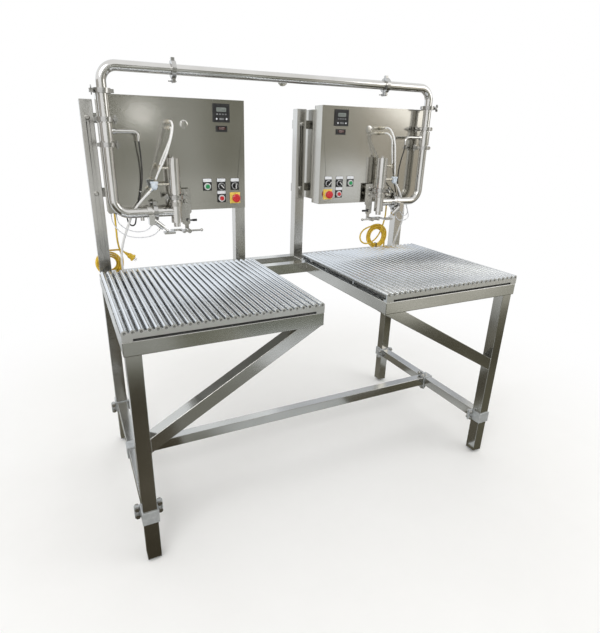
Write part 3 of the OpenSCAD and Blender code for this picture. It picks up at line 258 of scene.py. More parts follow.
EVEN = (1, 1, 1)
LIGHT, DEEP = (0.62, 0.615, 0.595), (0.52, 0.515, 0.485)
steel("tube_x", LIGHT, DEEP, 0.15, (0.02, 1, 1), relief=0.03)
steel("tube_y", LIGHT, DEEP, 0.15, (1, 0.02, 1), relief=0.03)
steel("tube_z", LIGHT, (0.50, 0.49, 0.455), 0.15, (1, 1, 0.02), relief=0.03, dusty=0.3)
steel("sheet", (0.57, 0.56, 0.525), (0.49, 0.48, 0.44), 0.14, (1, 1, 0.02), 1300.0, 2.2, 0.012)
steel("satin", (0.60, 0.59, 0.56), (0.52, 0.51, 0.48), 0.20, EVEN, 700.0, 20.0, 0.04)
steel("polished", (0.72, 0.715, 0.70), (0.62, 0.61, 0.585), 0.11, (1, 1, 0.05), 500.0, 6.0, 0.01)
steel("rods", (0.76, 0.785, 0.81), (0.69, 0.71, 0.73), 0.15, (1, 0.02, 1), 1200.0, 5.0, 0.006)
steel("tray", (0.55, 0.55, 0.54), (0.42, 0.42, 0.41), 0.42, EVEN, 300.0, 8.0, 0.05)
# dull seats where the grates rest; their dark colour is painted shade for the gap under the comb bars
steel("seat", (0.22, 0.22, 0.21), (0.15, 0.15, 0.14), 0.55, EVEN, 300.0, 12.0, 0.05)
steel("comb", (0.82, 0.825, 0.82), (0.74, 0.74, 0.73), 0.36, (0.03, 1, 1), 900.0, 8.0, 0.03)
steel("union", (0.58, 0.577, 0.565), (0.40, 0.393, 0.375), 0.18, EVEN, 260.0, 14.0, 0.04)
steel("cast", (0.68, 0.675, 0.65), (0.52, 0.51, 0.48), 0.26, EVEN, 260.0, 14.0, 0.08)
# rod ends: the dark colour is painted shade in the dished hollows
steel("shaded_rod_end", (0.36, 0.36, 0.345), (0.27, 0.27, 0.255), 0.60, EVEN, 500.0, 60.0, 0.05)
steel("bolts", (0.62, 0.61, 0.585), (0.46, 0.45, 0.42), 0.22, EVEN, 700.0, 25.0, 0.05)
steel("chrome", (0.80, 0.80, 0.80), (0.68, 0.68, 0.68), 0.08, EVEN, 400.0, 30.0, 0.01)
steel("nickel", (0.78, 0.75, 0.68), (0.64, 0.60, 0.51), 0.22, EVEN, 600.0, 30.0, 0.05)
print("steels:", sorted(finish))

# %% [markdown]
# ### Plastic, rubber and cord jackets
# Buttons, bezels, hoses and jackets are all plastics: a colour, a soft gloss and a fine moulded grain.
# Where fingers or cloths rub, the grain polishes off, so the rub mask lowers the roughness and lifts the
# colour a little.

# %% Plastic finishes
def plastic(name, colour, worn, rough, size=1400.0, relief=0.06, **sockets):
    material, tree, shader = blank(name, **sockets)
    skin = use(tree, grain, Size=size)
    tree.links.new(mix(tree, skin.outputs["Rub"], colour, worn), shader.inputs["Base Color"])
    tree.links.new(ranged(tree, skin.outputs["Rub"], rough * 1.15, rough * 0.8), shader.inputs["Roughness"])
    bump(tree, shader, skin.outputs["Grain"], relief, 0.0003)
    finish[name] = material


plastic("black", (0.012, 0.012, 0.013), (0.028, 0.028, 0.028), 0.42)
plastic("rubber", (0.018, 0.018, 0.018), (0.040, 0.039, 0.037), 0.65, 900.0, 0.12)
plastic("red", (0.50, 0.006, 0.012), (0.60, 0.018, 0.024), 0.28, 1400.0, 0.02, Coat_Weight=0.3)
plastic("green", (0.006, 0.24, 0.07), (0.012, 0.32, 0.10), 0.30, 1400.0, 0.02, Coat_Weight=0.3)
plastic("yellow", (0.84, 0.60, 0.09), (0.90, 0.70, 0.17), 0.36, 1200.0, 0.03)
plastic("yellow_jacket", (0.74, 0.49, 0.025), (0.82, 0.58, 0.06), 0.38, 700.0, 0.08)
plastic("black_jacket", (0.025, 0.024, 0.024), (0.06, 0.058, 0.055), 0.45, 900.0, 0.06)
plastic("white_tube", (0.80, 0.80, 0.79), (0.88, 0.88, 0.87), 0.25, 500.0, 0.02, Coat_Weight=0.2)
plastic("clear_line", (0.62, 0.63, 0.66), (0.74, 0.75, 0.78), 0.22, 500.0, 0.02, Coat_Weight=0.2)
plastic("blue_body", (0.56, 0.63, 0.71), (0.72, 0.77, 0.82), 0.18, 120.0, 0.02, Coat_Weight=0.4)
plastic("strap", (0.47, 0.49, 0.50), (0.58, 0.60, 0.61), 0.36, 300.0, 0.03, Metallic=0.45)
plastic("bezel", (0.78, 0.79, 0.80), (0.86, 0.87, 0.88), 0.24, 900.0, 0.01, Metallic=0.4, Coat_Weight=0.3)
plastic("white_plastic", (0.72, 0.72, 0.70), (0.80, 0.80, 0.78), 0.35, 800.0, 0.03)
plastic("grey_block", (0.22, 0.22, 0.21), (0.30, 0.30, 0.29), 0.45, 600.0, 0.05)
plastic("tag", (0.70, 0.72, 0.75), (0.82, 0.83, 0.85), 0.30, 900.0, 0.02)
plastic("screen", (0.20, 0.225, 0.21), (0.24, 0.265, 0.25), 0.12, 300.0, 0.0, Coat_Weight=0.6)
plastic("digit", (0.52, 0.40, 0.39), (0.60, 0.48, 0.47), 0.30, 900.0, 0.02)
plastic("window", (0.030, 0.008, 0.008), (0.05, 0.012, 0.011), 0.10, 300.0, 0.0, Coat_Weight=0.6)
plastic("key", (0.16, 0.165, 0.17), (0.30, 0.31, 0.32), 0.40, 900.0, 0.05)
print("finishes:", len(finish))

# %% [markdown]
# ## Cords and tubes
# Each station has two white air tubes to the filling head, a white exhaust hose that hangs free, two thin
# gripper lines, a black meter cable and a yellow power lead. A cord can be drawn as a mesh tube, but a
# Bezier curve with a round bevel stays a real line: its length can be measured. The points repeat the
# routes of the CAD model, in millimetres from the table's outer edge, from the panel's face, and up.

# %% Routes at one station
UPPER_AIR = [(322, -46, 1522), (322, -56, 1522), (320.5, -73, 1517.5), (317, -85.5, 1506),
             (311.5, -90, 1489.5), (308, -88, 1478), (297, -78, 1450), (285, -67, 1422), (274, -57, 1395),
             (270.2, -52.2, 1383)]
LOWER_AIR = [(322, -46, 1546), (322, -59, 1546), (322, -76, 1542), (321, -92, 1531), (317, -103, 1514),
             (311, -108, 1492), (302, -106, 1463), (291, -98, 1429), (278, -86, 1396), (264, -72, 1366),
             (253, -60, 1339), (249.2, -55.2, 1327)]
EXHAUST = [(224.6, -43.3, 1279.2), (218, -41.9, 1272.5), (204, -37, 1258), (184, -27, 1235), (166, -21, 1212),
           (150, -18, 1190), (138, -12, 1160), (122, 3, 1116), (109, 24, 1074), (100, 52, 1024),
           (97, 76, 972), (99, 92, 922), (102, 100, 872)]
METER = [(196, -47, 1470), (196, -47, 1460), (198, -42, 1434), (201, -32, 1394), (201, -22, 1340),
         (194, -15, 1288), (184, -11, 1246), (174, -9, 1212), (167, -8, 1184), (163, -6, 1161),
         (158.5, 0.5, 1142), (148, 16, 1133.5), (137.5, 32, 1142), (134, 39, 1161), (134, 39, 1174)]
LINE_REAR = [(212, -82, 1146.5), (206, -82, 1139.5), (196, -78, 1130), (180, -70, 1123), (160, -59, 1120),
             (138, -43, 1122), (116, -23, 1130), (101, -1, 1141), (93, 17, 1154), (91, 28, 1172),
             (91, 28, 1182)]
LINE_NOSE = [(238, -82, 1124.5), (232, -82, 1117.5), (221, -78, 1108), (203, -72, 1101), (180, -65, 1097),
             (154, -55, 1096), (126, -39, 1100), (102, -17, 1110), (85, 10, 1126), (75, 34, 1146),
             (72, 47, 1164), (72, 50, 1174), (72, 50, 1182)]
STATIONS = ((1, "left"), (-1, "right"))
EDGE_X = round(-1000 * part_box("table_frames")[0].x, 1)
PANEL_Y = round(1000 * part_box("enclosure_covers")[0].y, 1)


def at(point, side):
    """A route's point in metres; side is 1 at the left station and -1 at its mirror image on the right."""
    u, v, z = point
    return Vector((side * (u - EDGE_X) / 1000, (PANEL_Y + v) / 1000, z / 1000))


print("table edge at", EDGE_X, "and panel at", PANEL_Y, "mm")

# %% A smooth line through a route
def resample(points, count):
    """count points, evenly spaced on a smooth line through the given ones."""
    ends = [2 * points[0] - points[1], *points, 2 * points[-1] - points[-2]]
    fine, parts = [], 16
    for a, b, c, d in zip(ends, ends[1:], ends[2:], ends[3:]):
        for k in range(parts):
            t = k / parts
            fine.append(b + 0.5 * t * (c - a + t * (2 * a - 5 * b + 4 * c - d + t * (3 * (b - c) + d - a))))
    fine.append(points[-1])
    reach = [0.0]
    for a, b in zip(fine, fine[1:]):
        reach.append(reach[-1] + (b - a).length)
    even, k = [], 0
    for i in range(count):
        goal = reach[-1] * i / (count - 1)
        while k < len(fine) - 2 and reach[k + 1] < goal:
            k += 1
        even.append(fine[k].lerp(fine[k + 1], (goal - reach[k]) / (reach[k + 1] - reach[k])))
    return even


def curve(name, points, diameter, skin, caps=True):
    data = bpy.data.curves.new(name, "CURVE")
    data.dimensions = "3D"
    data.bevel_depth = diameter / 2
    data.bevel_resolution = 5
    data.resolution_u = 5
    data.use_fill_caps = caps
    spline = data.splines.new("BEZIER")
    spline.bezier_points.add(len(points) - 1)
    before = [2 * points[0] - points[1], *points[:-1]]
    after = [*points[1:], 2 * points[-1] - points[-2]]
    for knot, a, p, b in zip(spline.bezier_points, before, points, after):
        knot.co = p
        knot.handle_left_type = knot.handle_right_type = "FREE"
        knot.handle_left = p - (b - a) / 6
        knot.handle_right = p + (b - a) / 6
    data.materials.append(finish[skin])
    return show(name, data), spline.calc_length()


# %% Lay the tubes, hoses and meter cables
CORDS = [
    ("upper_air", UPPER_AIR, 0.008, "white_tube", "air_tubes", "object", "loose"),
    ("lower_air", LOWER_AIR, 0.008, "white_tube", "air_tubes", "object", "loose"),
    ("line_rear", LINE_REAR, 0.004, "clear_line", "air_tubes", "object", "hanging"),
    ("line_nose", LINE_NOSE, 0.004, "clear_line", "air_tubes", "object", "hanging"),
    ("exhaust", EXHAUST, 0.010, "white_tube", "exhaust_hoses", "bare", "hanging"),
    ("meter_cable", METER, 0.006, "black_jacket", "meter_cables", "object", "hanging"),
]
KNOTS = 28
for side, station in STATIONS:
    for label, route, diameter, skin, node, end, lay in CORDS:
        points = resample([at(p, side) for p in route], KNOTS)
        piece, length = curve(f"{station}_{label}", points, diameter, skin, caps=label != "exhaust")
        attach(piece, "machine")
        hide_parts(node)
        print(piece.name, round(length, 3), "m")

# %% [markdown]
# ## The power leads
# The yellow leads hang out of the enclosures, tied in coils: one behind the left post, one under the right
# box, where the first turn has come loose. A coil could be a screw modifier on a circle, but a real tied
# coil spirals in on one layer, climbs, and spirals out on the next, so both ends come out at the rim. That
# is one formula for the radius and one for the layer, and the lead, the coil and the tail stay one line.

# %% Coil formula and lead routes
LEAD = 0.008
STEP, CLIMB = 9.5, 10.0
CLIMB_ANGLE, POINT_ANGLE = 180, 15


def coil(centre, radius, turns_in, turns_out):
    """In by STEP mm a turn, over by CLIMB mm to the next layer in half a turn, and out again."""
    inner = 360 * turns_in
    total = inner + CLIMB_ANGLE + 360 * turns_out
    count = math.ceil(total / POINT_ANGLE)
    points = []
    for i in range(count + 1):
        a = total * i / count
        climbing = min(1, max(0, (a - inner) / CLIMB_ANGLE))
        wound = a if a < inner else inner if a < inner + CLIMB_ANGLE else total - a
        r = radius - STEP * wound / 360
        x, z = r * math.cos(math.radians(a)), -r * math.sin(math.radians(a))
        points.append(Vector((centre[0] + x, centre[1] + CLIMB * climbing, centre[2] + z)) / 1000)
    return points


LEFT_LEAD = [(92, 118, 1178), (92, 118, 1164), (92, 119, 1140), (92, 124, 1112), (93, 134, 1085),
             (94, 149, 1060), (97, 167, 1036), (101, 185, 1013), (106, 201, 991), (111, 212, 970),
             (115, 218, 949), (115, 218, 936)]
LEFT_TAIL = [(63, 228, 988), (78, 228, 988), (96, 228, 988), (110, 228, 985.5), (122, 228, 978.7),
             (130, 228, 972)]
RIGHT_LEAD = [(152, 118, 1178), (152, 118, 1160), (153, 116, 1138), (156, 112, 1116), (161, 107, 1094),
              (167, 104, 1072), (174, 102, 1050), (181, 102, 1028), (189, 102, 1008), (200, 102, 989),
              (214, 102, 972), (231, 102, 959), (251, 102, 950), (272, 102, 946), (293, 102, 949),
              (311, 103, 960), (320, 104, 978), (319, 105, 998), (308, 106, 1015), (291, 107, 1027),
              (270, 109, 1034), (248, 112, 1039), (224, 116, 1045), (200, 118, 1046), (175, 118, 1041),
              (153, 118, 1026), (141, 118, 1010), (136, 118, 994), (136, 118, 986)]
RIGHT_TAIL = [(136, 128, 970), (136, 128, 952), (136, 128, 932), (136, 128, 910), (137, 128, 886),
              (138, 128, 862), (139, 128, 840), (139, 128, 820)]
LEFT_COIL, LEFT_RADIUS = (55 - EDGE_X, PANEL_Y + 218, 928), 60
RIGHT_COIL, RIGHT_RADIUS = (EDGE_X - 200, PANEL_Y + 118, 978), 64
print("coils round", LEFT_COIL, "and", RIGHT_COIL)

# %% [markdown]
# ## Plugs and ties
# Each lead ends in a moulded plug: a ribbed strain relief, a grip that flattens from round to oval, a
# flange, two blades and a round earth pin. Lofting rings of points makes the whole moulding one skin; a
# stack of primitives would show hard joints that a moulding doesn't have.

# %% A loft of rounded-rectangle rings
def loft(mesh, rings, material=0):
    """rings: lists of points of one length, from one end to the other; both ends are closed."""
    made = [[mesh.verts.new(p) for p in ring] for ring in rings]
    faces = []
    for low, high in zip(made, made[1:]):
        for i in range(len(low)):
            k = (i + 1) % len(low)
            faces.append(mesh.faces.new((low[i], low[k], high[k], high[i])))
    faces.append(mesh.faces.new(made[0][::-1]))
    faces.append(mesh.faces.new(made[-1]))
    for face in faces:
        face.material_index = material
        face.smooth = len(face.verts) == 4


def oval(z, half_x, half_y, square=2.0, count=32, middle=(0, 0)):
    """A ring at height z: a circle or ellipse at square 2, and closer to a rectangle above that."""
    ring = []
    for i in range(count):
        c, s = math.cos(2 * math.pi * i / count), math.sin(2 * math.pi * i / count)
        x = math.copysign(abs(c) ** (2 / square), c) * half_x
        y = math.copysign(abs(s) ** (2 / square), s) * half_y
        ring.append(Vector((middle[0] + x, middle[1] + y, z)))
    return ring


def piece_from(name, mesh, skins, place=Matrix()):
    """Makes an object of a bmesh drawn in millimetres, put in place by a matrix that is in metres."""
    data = bpy.data.meshes.new(name)
    mesh.transform(place @ Matrix.Scale(0.001, 4))
    bmesh.ops.recalc_face_normals(mesh, faces=mesh.faces)
    mesh.to_mesh(data)
    mesh.free()
    for skin in skins:
        data.materials.append(finish[skin])
    return show(name, data)


# %% Plug
def make_plug(name, place):
    mesh = bmesh.new()
    rings = [oval(0.3, 4.6, 4.6), oval(0.6, 5.4, 5.4)]
    for k in range(6):
        z, r = 1.6 + 2.7 * k, 5.6 + 0.55 * k
        for up, less in ((0, 0), (1.3, 0), (1.5, 0.9), (2.4, 0.7)):
            rings.append(oval(z + up, r - less, r - less))
    rings += [oval(18, 9.4, 9.0), oval(20, 11.6, 9.4, 2.6), oval(24, 12.9, 9.9, 3.4),
              oval(33, 12.9, 9.9, 3.4), oval(37, 12.4, 9.7, 3.0), oval(39.2, 13.4, 11.2),
              oval(40.2, 15.8, 15.8), oval(41, 16.9, 16.9), oval(45.8, 16.9, 16.9), oval(46.8, 16.3, 16.3),
              oval(47, 15.4, 15.4)]
    loft(mesh, rings)
    for x in (-6.5, 6.5):
        tip = ((46.9, 1), (61.4, 1), (62.4, 0.9), (63, 0.6))
        loft(mesh, [oval(z, 0.8 * w, 3.2 * w, 8, 16, (x, 0)) for z, w in tip], 1)
    pin = [oval(z, r, r, 2, 20, (0, 7)) for z, r in ((46.9, 2.4), (63.5, 2.4), (65.2, 1.9), (66, 0.9))]
    loft(mesh, pin, 1)
    return piece_from(name, mesh, ["yellow_jacket", "chrome"], place)


left_end, right_end = at(LEFT_TAIL[-1], 1), at(RIGHT_TAIL[-1], -1)
left_plug = make_plug("left_plug", Matrix.Translation(left_end) @ Matrix.Rotation(math.radians(130), 4, "Y"))
right_plug = make_plug("right_plug", Matrix.Translation(right_end) @ Matrix.Rotation(math.pi, 4, "X"))
print("plugs at", tuple(left_end), tuple(right_end))

# %% A strap: a closed band with a lock on its outer side
def hoop(mesh, loops):
    """Joins loops of points in a ring, the last to the first, as round the section of a band."""
    made = [[mesh.verts.new(p) for p in loop] for loop in loops]
    for low, high in zip(made, made[1:] + made[:1]):
        for i in range(len(low)):
            k = (i + 1) % len(low)
            mesh.faces.new((low[i], low[k], high[k], high[i]))


def make_strap(name, place, half, depth, square, width, thick, skin):
    """half and depth: the inside of the band; its width runs along the place's Z."""
    mesh = bmesh.new()
    w, lock = width / 2, half + 1.6 * thick
    inner, outer = oval(0, half, depth, square, 48), oval(0, half + thick, depth + thick, square, 48)
    section = ((-w, inner), (-w, outer), (w, outer), (w, inner))
    hoop(mesh, [[Vector((p.x, p.y, h)) for p in loop] for h, loop in section])
    loft(mesh, [oval(z * w, x * thick, y * w, 4, 24, (lock, 0))
                for z, x, y in ((-1.35, 1.1, 1.0), (-1.15, 1.5, 1.2), (1.15, 1.5, 1.2), (1.35, 1.1, 1.0))])
    return piece_from(name, mesh, [skin], place)


# %% Ties round the coils
def make_tie(name, centre, angle, near, far):
    """A strap round the coil's bundle at one angle; near and far are the bundle's radii in millimetres."""
    a = math.radians(angle)
    out, axis = Vector((math.cos(a), 0, -math.sin(a))), Vector((0, 1, 0))
    spot = Vector(centre) + Vector((0, CLIMB / 2, 0)) + out * (near + far) / 2
    place = Matrix.Translation(spot / 1000) @ Matrix((out, axis, out.cross(axis))).transposed().to_4x4()
    return make_strap(name, place, (far - near) / 2 + 0.5, CLIMB / 2 + 4.5, 6, 6, 1.4, "black_jacket")


left_tie = make_tie("left_tie", LEFT_COIL, 235, 30.5, 63.3)
right_tie = make_tie("right_tie", RIGHT_COIL, 90, 38, 66)
print("ties:", left_tie.name, right_tie.name)

# %% [markdown]
# ## Laying the leads
# Drop, coil and tail are joined into one list of points before the curve is made. Three curves end to end
# would look the same, but one curve has one length, and the cord's note to the frame needs the whole lead,
# with the plug and the tie that go where it goes.

# %% Lay the leads
TAIL_KNOTS = 10
left_turns = coil(LEFT_COIL, LEFT_RADIUS, 2.75, 2.5)
right_turns = coil(RIGHT_COIL, RIGHT_RADIUS, 2.25, 2.25)
for name, lead, tail, knots, turns, side, plug, tie in (
        ("left_lead", LEFT_LEAD, LEFT_TAIL, 20, left_turns, 1, left_plug, left_tie),
        ("right_lead", RIGHT_LEAD, RIGHT_TAIL, 30, right_turns, -1, right_plug, right_tie)):
    drop, end = ([at(p, side) for p in route] for route in (lead, tail))
    points = [*resample(drop, knots), *turns, *resample(end, TAIL_KNOTS)]
    piece, length = curve(name, points, LEAD, "yellow_jacket")
    station = name.split("_")[0]
    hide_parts(f"{station}_power_lead", f"{station}_lead_coil")
    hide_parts("lead_plugs")
    for part in (piece, plug, tie):
        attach(part, "machine")
    print(name, round(length, 3), "m")

# %% [markdown]
# ## Small parts of the controls
# The CAD has the housings. What a person reads and touches is added here: display panes and keys in the
# instruments, blank tags on the legend holders and white pointers on the selector knobs. Plain boxes would
# nearly do at this size, but lofted rings give each part the small round edge that catches the light.

# %% A pad: a thin plate with round corners and a soft front edge
def facing(x, y, z, angle=0.0):
    """A place on the panel in mm: local Z faces the operator and local Y is up, turned clockwise by angle."""
    a = math.radians(angle)
    axes = Matrix(((math.cos(a), 0, -math.sin(a)), (math.sin(a), 0, math.cos(a)), (0, -1, 0))).transposed()
    return Matrix.Translation(Vector((x, y, z)) / 1000) @ axes.to_4x4()


def pad(mesh, x, y, half_x, half_y, base, top, material=0, square=8):
    soft = min(0.45 * (top - base), 0.4)
    rings = ((base, 0), (top - soft, 0), (top - 0.3 * soft, 0.3 * soft), (top, soft))
    loft(mesh, [oval(z, half_x - s, half_y - s, square, 32, (x, y)) for z, s in rings], material)


def mount(piece, body):
    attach(piece, body)


# %% Displays: an LCD pane over a row of keys, and a counter window
def zeros(mesh, count, x, y, high, base, material):
    """Seven-segment zeros, centred at x and y."""
    bar, wide, pitch = 0.07 * high, 0.25 * high, 0.75 * high
    for i in range(count):
        mid = x + (i - (count - 1) / 2) * pitch
        for k in (-1, 1):
            pad(mesh, mid, y + k * (high / 2 - bar), wide - 1.5 * bar, bar, base, base + 0.12, material, 4)
            for j in (-1, 1):
                pad(mesh, mid + k * (wide - bar), y + j * high / 4, bar, high / 4 - 1.6 * bar,
                    base, base + 0.12, material, 4)


RECESS_Y, INSTRUMENT_X, LCD_Z, COUNTER_Z = 223.2, 295, 1585, 1525.4
for side, station in STATIONS:
    mesh = bmesh.new()
    pad(mesh, 0, 13, 21.5, 8, 0, 0.6)
    zeros(mesh, 6, 0, 13, 8, 0.55, 1)
    for k in (-1.5, -0.5, 0.5, 1.5):
        pad(mesh, 12.4 * k, -5, 3.8, 2.6, 0, 0.9, 2, 4)
    lcd = piece_from(f"{station}_display", mesh, ["screen", "black", "key"],
                     facing(side * -INSTRUMENT_X, RECESS_Y, LCD_Z))
    mesh = bmesh.new()
    pad(mesh, 0, 0, 17.6, 5.8, 0, 0.6)
    zeros(mesh, 4, 0, 0, 8, 0.55, 1)
    window = piece_from(f"{station}_counter", mesh, ["window", "digit"],
                        facing(side * -INSTRUMENT_X, RECESS_Y, COUNTER_Z))
    for piece in (lcd, window):
        mount(piece, "machine")
print("displays at both stations")

# %% Blank tags on the legend holders
PLATE_Y, TAG_RISE = 227.8, 25.4
TAG_SPOTS = [(240, 1288), (303, 1288), (366, 1288), (303, 1236)]
for side, station in STATIONS:
    mesh = bmesh.new()
    for x, z in TAG_SPOTS:
        pad(mesh, -side * x, z + TAG_RISE, 19.0, 6.8, 0, 0.9, 0, 10)
    mount(piece_from(f"{station}_tags", mesh, ["tag"], facing(0, PLATE_Y, 0)), "machine")
print("tags:", 2 * len(TAG_SPOTS))

# %% White pointers that turn with the knobs
GRIP_Y, KNOB_Z = 208.8, 1288
for body, x, angle in (("left_mode_selector", -303, -45), ("left_pump_selector", -240, 0),
                       ("right_mode_selector", 303, -45), ("right_pump_selector", 240, 45)):
    mesh = bmesh.new()
    pad(mesh, 0, 0, 1.7, 10.8, 0, 0.5, 0, 6)
    pointer = piece_from(body.replace("selector", "pointer"), mesh, ["white_plastic"],
                         facing(x, GRIP_Y, KNOB_Z, angle))
    mount(pointer, body)
print("pointers: 4")

# %% [markdown]
# ## Small parts of the heads
# A quick-exhaust valve is a moulded body with a ribbed collar that is turned by hand. The ribs could be a
# bump, but they show on the outline, so every other step round the ring stands out. The meter cable is held
# by a small white tie, which is the same strap as on the coils, at another size.

# %% Ribbed collars and cable ties
VALVE, RIB = (-601, 182, 1310), 0.35
TIE_SPOT, TIE_NEXT = (191, -14, 1276), (189, -13, 1266)
for side, station in STATIONS:
    mesh = bmesh.new()
    ring = [(math.cos(math.pi * i / 48), math.sin(math.pi * i / 48), RIB if i % 4 < 2 else -RIB)
            for i in range(96)]
    section = ((14.1, 0, 0), (15.0, 0, 0), (15.9, 0.8, 1), (15.9, 6.2, 1), (15.0, 7, 0), (14.1, 7, 0))
    hoop(mesh, [[Vector(((r + rib * k) * c, (r + rib * k) * s, z)) for c, s, rib in ring]
                for r, z, k in section])
    spot = Vector((side * VALVE[0], VALVE[1], VALVE[2])) / 1000
    collar = piece_from(f"{station}_collar", mesh, ["blue_body"], Matrix.Translation(spot))
    mount(collar, "machine")
    along = (at(TIE_NEXT, side) - at(TIE_SPOT, side)).normalized()
    place = Matrix.Translation(at(TIE_SPOT, side)) @ along.to_track_quat("Z", "Y").to_matrix().to_4x4()
    cable_tie = make_strap(f"{station}_cable_tie", place, 3.1, 3.1, 2, 2.6, 1.0, "white_plastic")
    mount(cable_tie, "machine")
print("collars and cable ties at both stations")

# %% [markdown]
# ## Rod ends
# Each tube of a grate is closed by a plug weld, ground off flush, that leaves a shallow dish. A dark spot in
# the comb bar's material would do from afar. As lofted rings the dishes shade themselves, and their finish
# is darker still, as painted shade in the hollow. They lift off with the grate because they ride on its body.

# %% A dished plug weld in each grate tube
GRATE_Y = [c.y * 1000 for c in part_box("left_grate")]
ROD_COUNT, ROD_PITCH, ROD_Z = 28, 25.4, 930.5
ROD_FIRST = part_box("left_grate")[0].x * 1000 + 9.6


def make_rod_ends(name, side):
    """Dishes in the open ends of one grate's tubes, a little behind the faces of the comb bars."""
    mesh = bmesh.new()
    dish = ((0.9, 2.6), (2.3, 2.3), (3.5, 1.7), (4.3, 0.9), (4.45, 0.9), (4.45, 4.0))
    circle = [(math.cos(math.tau * k / 20), math.sin(math.tau * k / 20)) for k in range(20)]
    for i in range(ROD_COUNT):
        x = side * (ROD_FIRST + ROD_PITCH * i)
        for face, inward in ((GRATE_Y[0], 1), (GRATE_Y[1], -1)):
            loft(mesh, [[Vector((x + r * c, face + inward * deep, ROD_Z + r * s)) for c, s in circle]
                        for r, deep in dish])
    mount(piece_from(name, mesh, ["shaded_rod_end"]), name.replace("_rod_ends", "_grate"))


make_rod_ends("left_rod_ends", 1)
make_rod_ends("right_rod_ends", -1)
print("rod ends:", 4 * ROD_COUNT)

# %% [markdown]
# ## Weld beads
# Where the legs and braces meet the table beams, the weld stands a little proud: its ripples are the frozen
# edges of the weld pool. Ripples could be a bump, but then the joint's outline would stay straight, so the
# bead is a tube whose radius swells at every step.

# %% Weld beads
def bead(mesh, start, end, radius=1.9, ripple=2.4):
    start, end = Vector(start), Vector(end)
    along = (end - start).normalized()
    side = along.orthogonal().normalized()
    other = along.cross(side)
    count = 3 * round((end - start).length / ripple)
    rings = []
    for i in range(count + 1):
        swell = 0.88 + 0.16 * abs(math.sin(math.pi * i / 3))
        r = radius * swell * (0.5 if i in (0, count) else 1)
        centre, turn = start.lerp(end, i / count), [math.tau * k / 10 for k in range(10)]
        rings.append([centre + r * (math.cos(a) * side + math.sin(a) * other) for a in turn])
    loft(mesh, rings)


LEG_X, LEG_Y, BEAM_Z, BRACE_Z = (-837, -787), (-437, -387), 851, (477, 534.7)
BRACE_X, SHORT = (-238, -138), 6
mesh = bmesh.new()
for k in (1, -1):
    outer, inner, front, back = k * LEG_X[0], k * LEG_X[1], LEG_Y[0], LEG_Y[1]
    for a, b in (((outer, front), (inner, front)), ((outer, front), (outer, back)),
                 ((inner, front), (inner, back - SHORT)), ((outer, back), (inner - SHORT * k, back))):
        bead(mesh, (*a, BEAM_Z), (*b, BEAM_Z))
    for y in LEG_Y:
        bead(mesh, (inner, y, BRACE_Z[0]), (inner, y, BRACE_Z[1]))
    for z in BRACE_Z:
        bead(mesh, (inner, front, z), (inner, back, z))
    near, far = k * BRACE_X[0], k * BRACE_X[1]
    bead(mesh, (near, front, BEAM_Z), (far, front, BEAM_Z))
    bead(mesh, (near, front, BEAM_Z), (near, back - SHORT, BEAM_Z))
mount(piece_from("weld_beads", mesh, ["cast"]), "machine")
print("weld beads on the legs and braces")

# %% [markdown]
# ## The studio
# The machine stands on a pale floor under soft lamps, in front of white. A curved backdrop would make the
# floor run into the wall; here the floor fades to plain white away from the machine, so no horizon shows.
# Light that falls on things comes from a world a little dimmer than the white that is seen.

# %% Floor
def quad(name, corners, skin):
    data = bpy.data.meshes.new(name)
    data.from_pydata(corners, [], [tuple(range(len(corners)))])
    data.materials.append(skin)
    made = show(name, data)
    return made


def seen_directly(tree):
    """1 for rays from the camera and for mirror images of them, 0 for the light that falls on things."""
    path = add(tree, "LightPath")
    either = add(tree, "Math", {0: path.outputs["Is Camera Ray"], 1: path.outputs["Is Glossy Ray"]},
                 operation="MAXIMUM")
    return add(tree, "Math", {0: either.outputs[0], 1: path.outputs["Is Transmission Ray"]},
               operation="MAXIMUM").outputs[0]


pale, tree, shader = blank("floor", Roughness=0.6, Specular_IOR_Level=0.2)
tone = use(tree, clouding, Scale=0.8)
speckle = mix(tree, tone.outputs["Fine"], (0.90, 0.90, 0.895), (0.93, 0.93, 0.925))
tree.links.new(speckle, shader.inputs["Base Color"])
spot = add(tree, "TexCoord")
far = add(tree, "VectorMath", {0: spot.outputs["Object"]}, operation="LENGTH")
fade = add(tree, "MapRange", {"Value": far.outputs["Value"], "From Min": 1.1, "From Max": 2.6},
           interpolation_type="SMOOTHSTEP")
share = add(tree, "Math", {0: fade.outputs[0], 1: seen_directly(tree)}, operation="MULTIPLY")
clean = add(tree, "Emission", {"Color": (1, 1, 1, 1), "Strength": 1.0})
blend = add(tree, "MixShader", {0: share.outputs[0], 1: shader.outputs[0], 2: clean.outputs[0]})
tree.links.new(blend.outputs[0], tree.nodes["Material Output"].inputs["Surface"])
WIDE, BELOW = 9, -0.001
quad("floor", [(x * WIDE, y * WIDE, BELOW) for x, y in ((-1, -1), (1, -1), (1, 1), (-1, 1))], pale)
print("floor of", 2 * WIDE, "m")

# %% World
world = bpy.data.worlds.new("studio")
scene.world = world
world.use_nodes = True
tree = world.node_tree
white = tree.nodes["Background"]
white.inputs["Color"].default_value = (1, 1, 1, 1)
white.inputs["Strength"].default_value = 1.0
ambient = add(tree, "Background", {"Color": (1, 0.99, 0.97, 1), "Strength": 0.9})
pick = add(tree, "MixShader", {0: seen_directly(tree), 1: ambient.outputs[0], 2: white.outputs[0]})
tree.links.new(pick.outputs[0], tree.nodes["World Output"].inputs["Surface"])
scene.view_settings.view_transform = "Standard"
print("world", world.name)

# %% Lamps
def lamp(name, place, aim, size, power):
    data = bpy.data.lights.new(name, "AREA")
    data.shape = "DISK"
    data.size = size
    data.energy = power
    made = show(name, data)
    made.location = place
    made.rotation_euler = (Vector(aim) - Vector(place)).to_track_quat("-Z", "Y").to_euler()
    return made


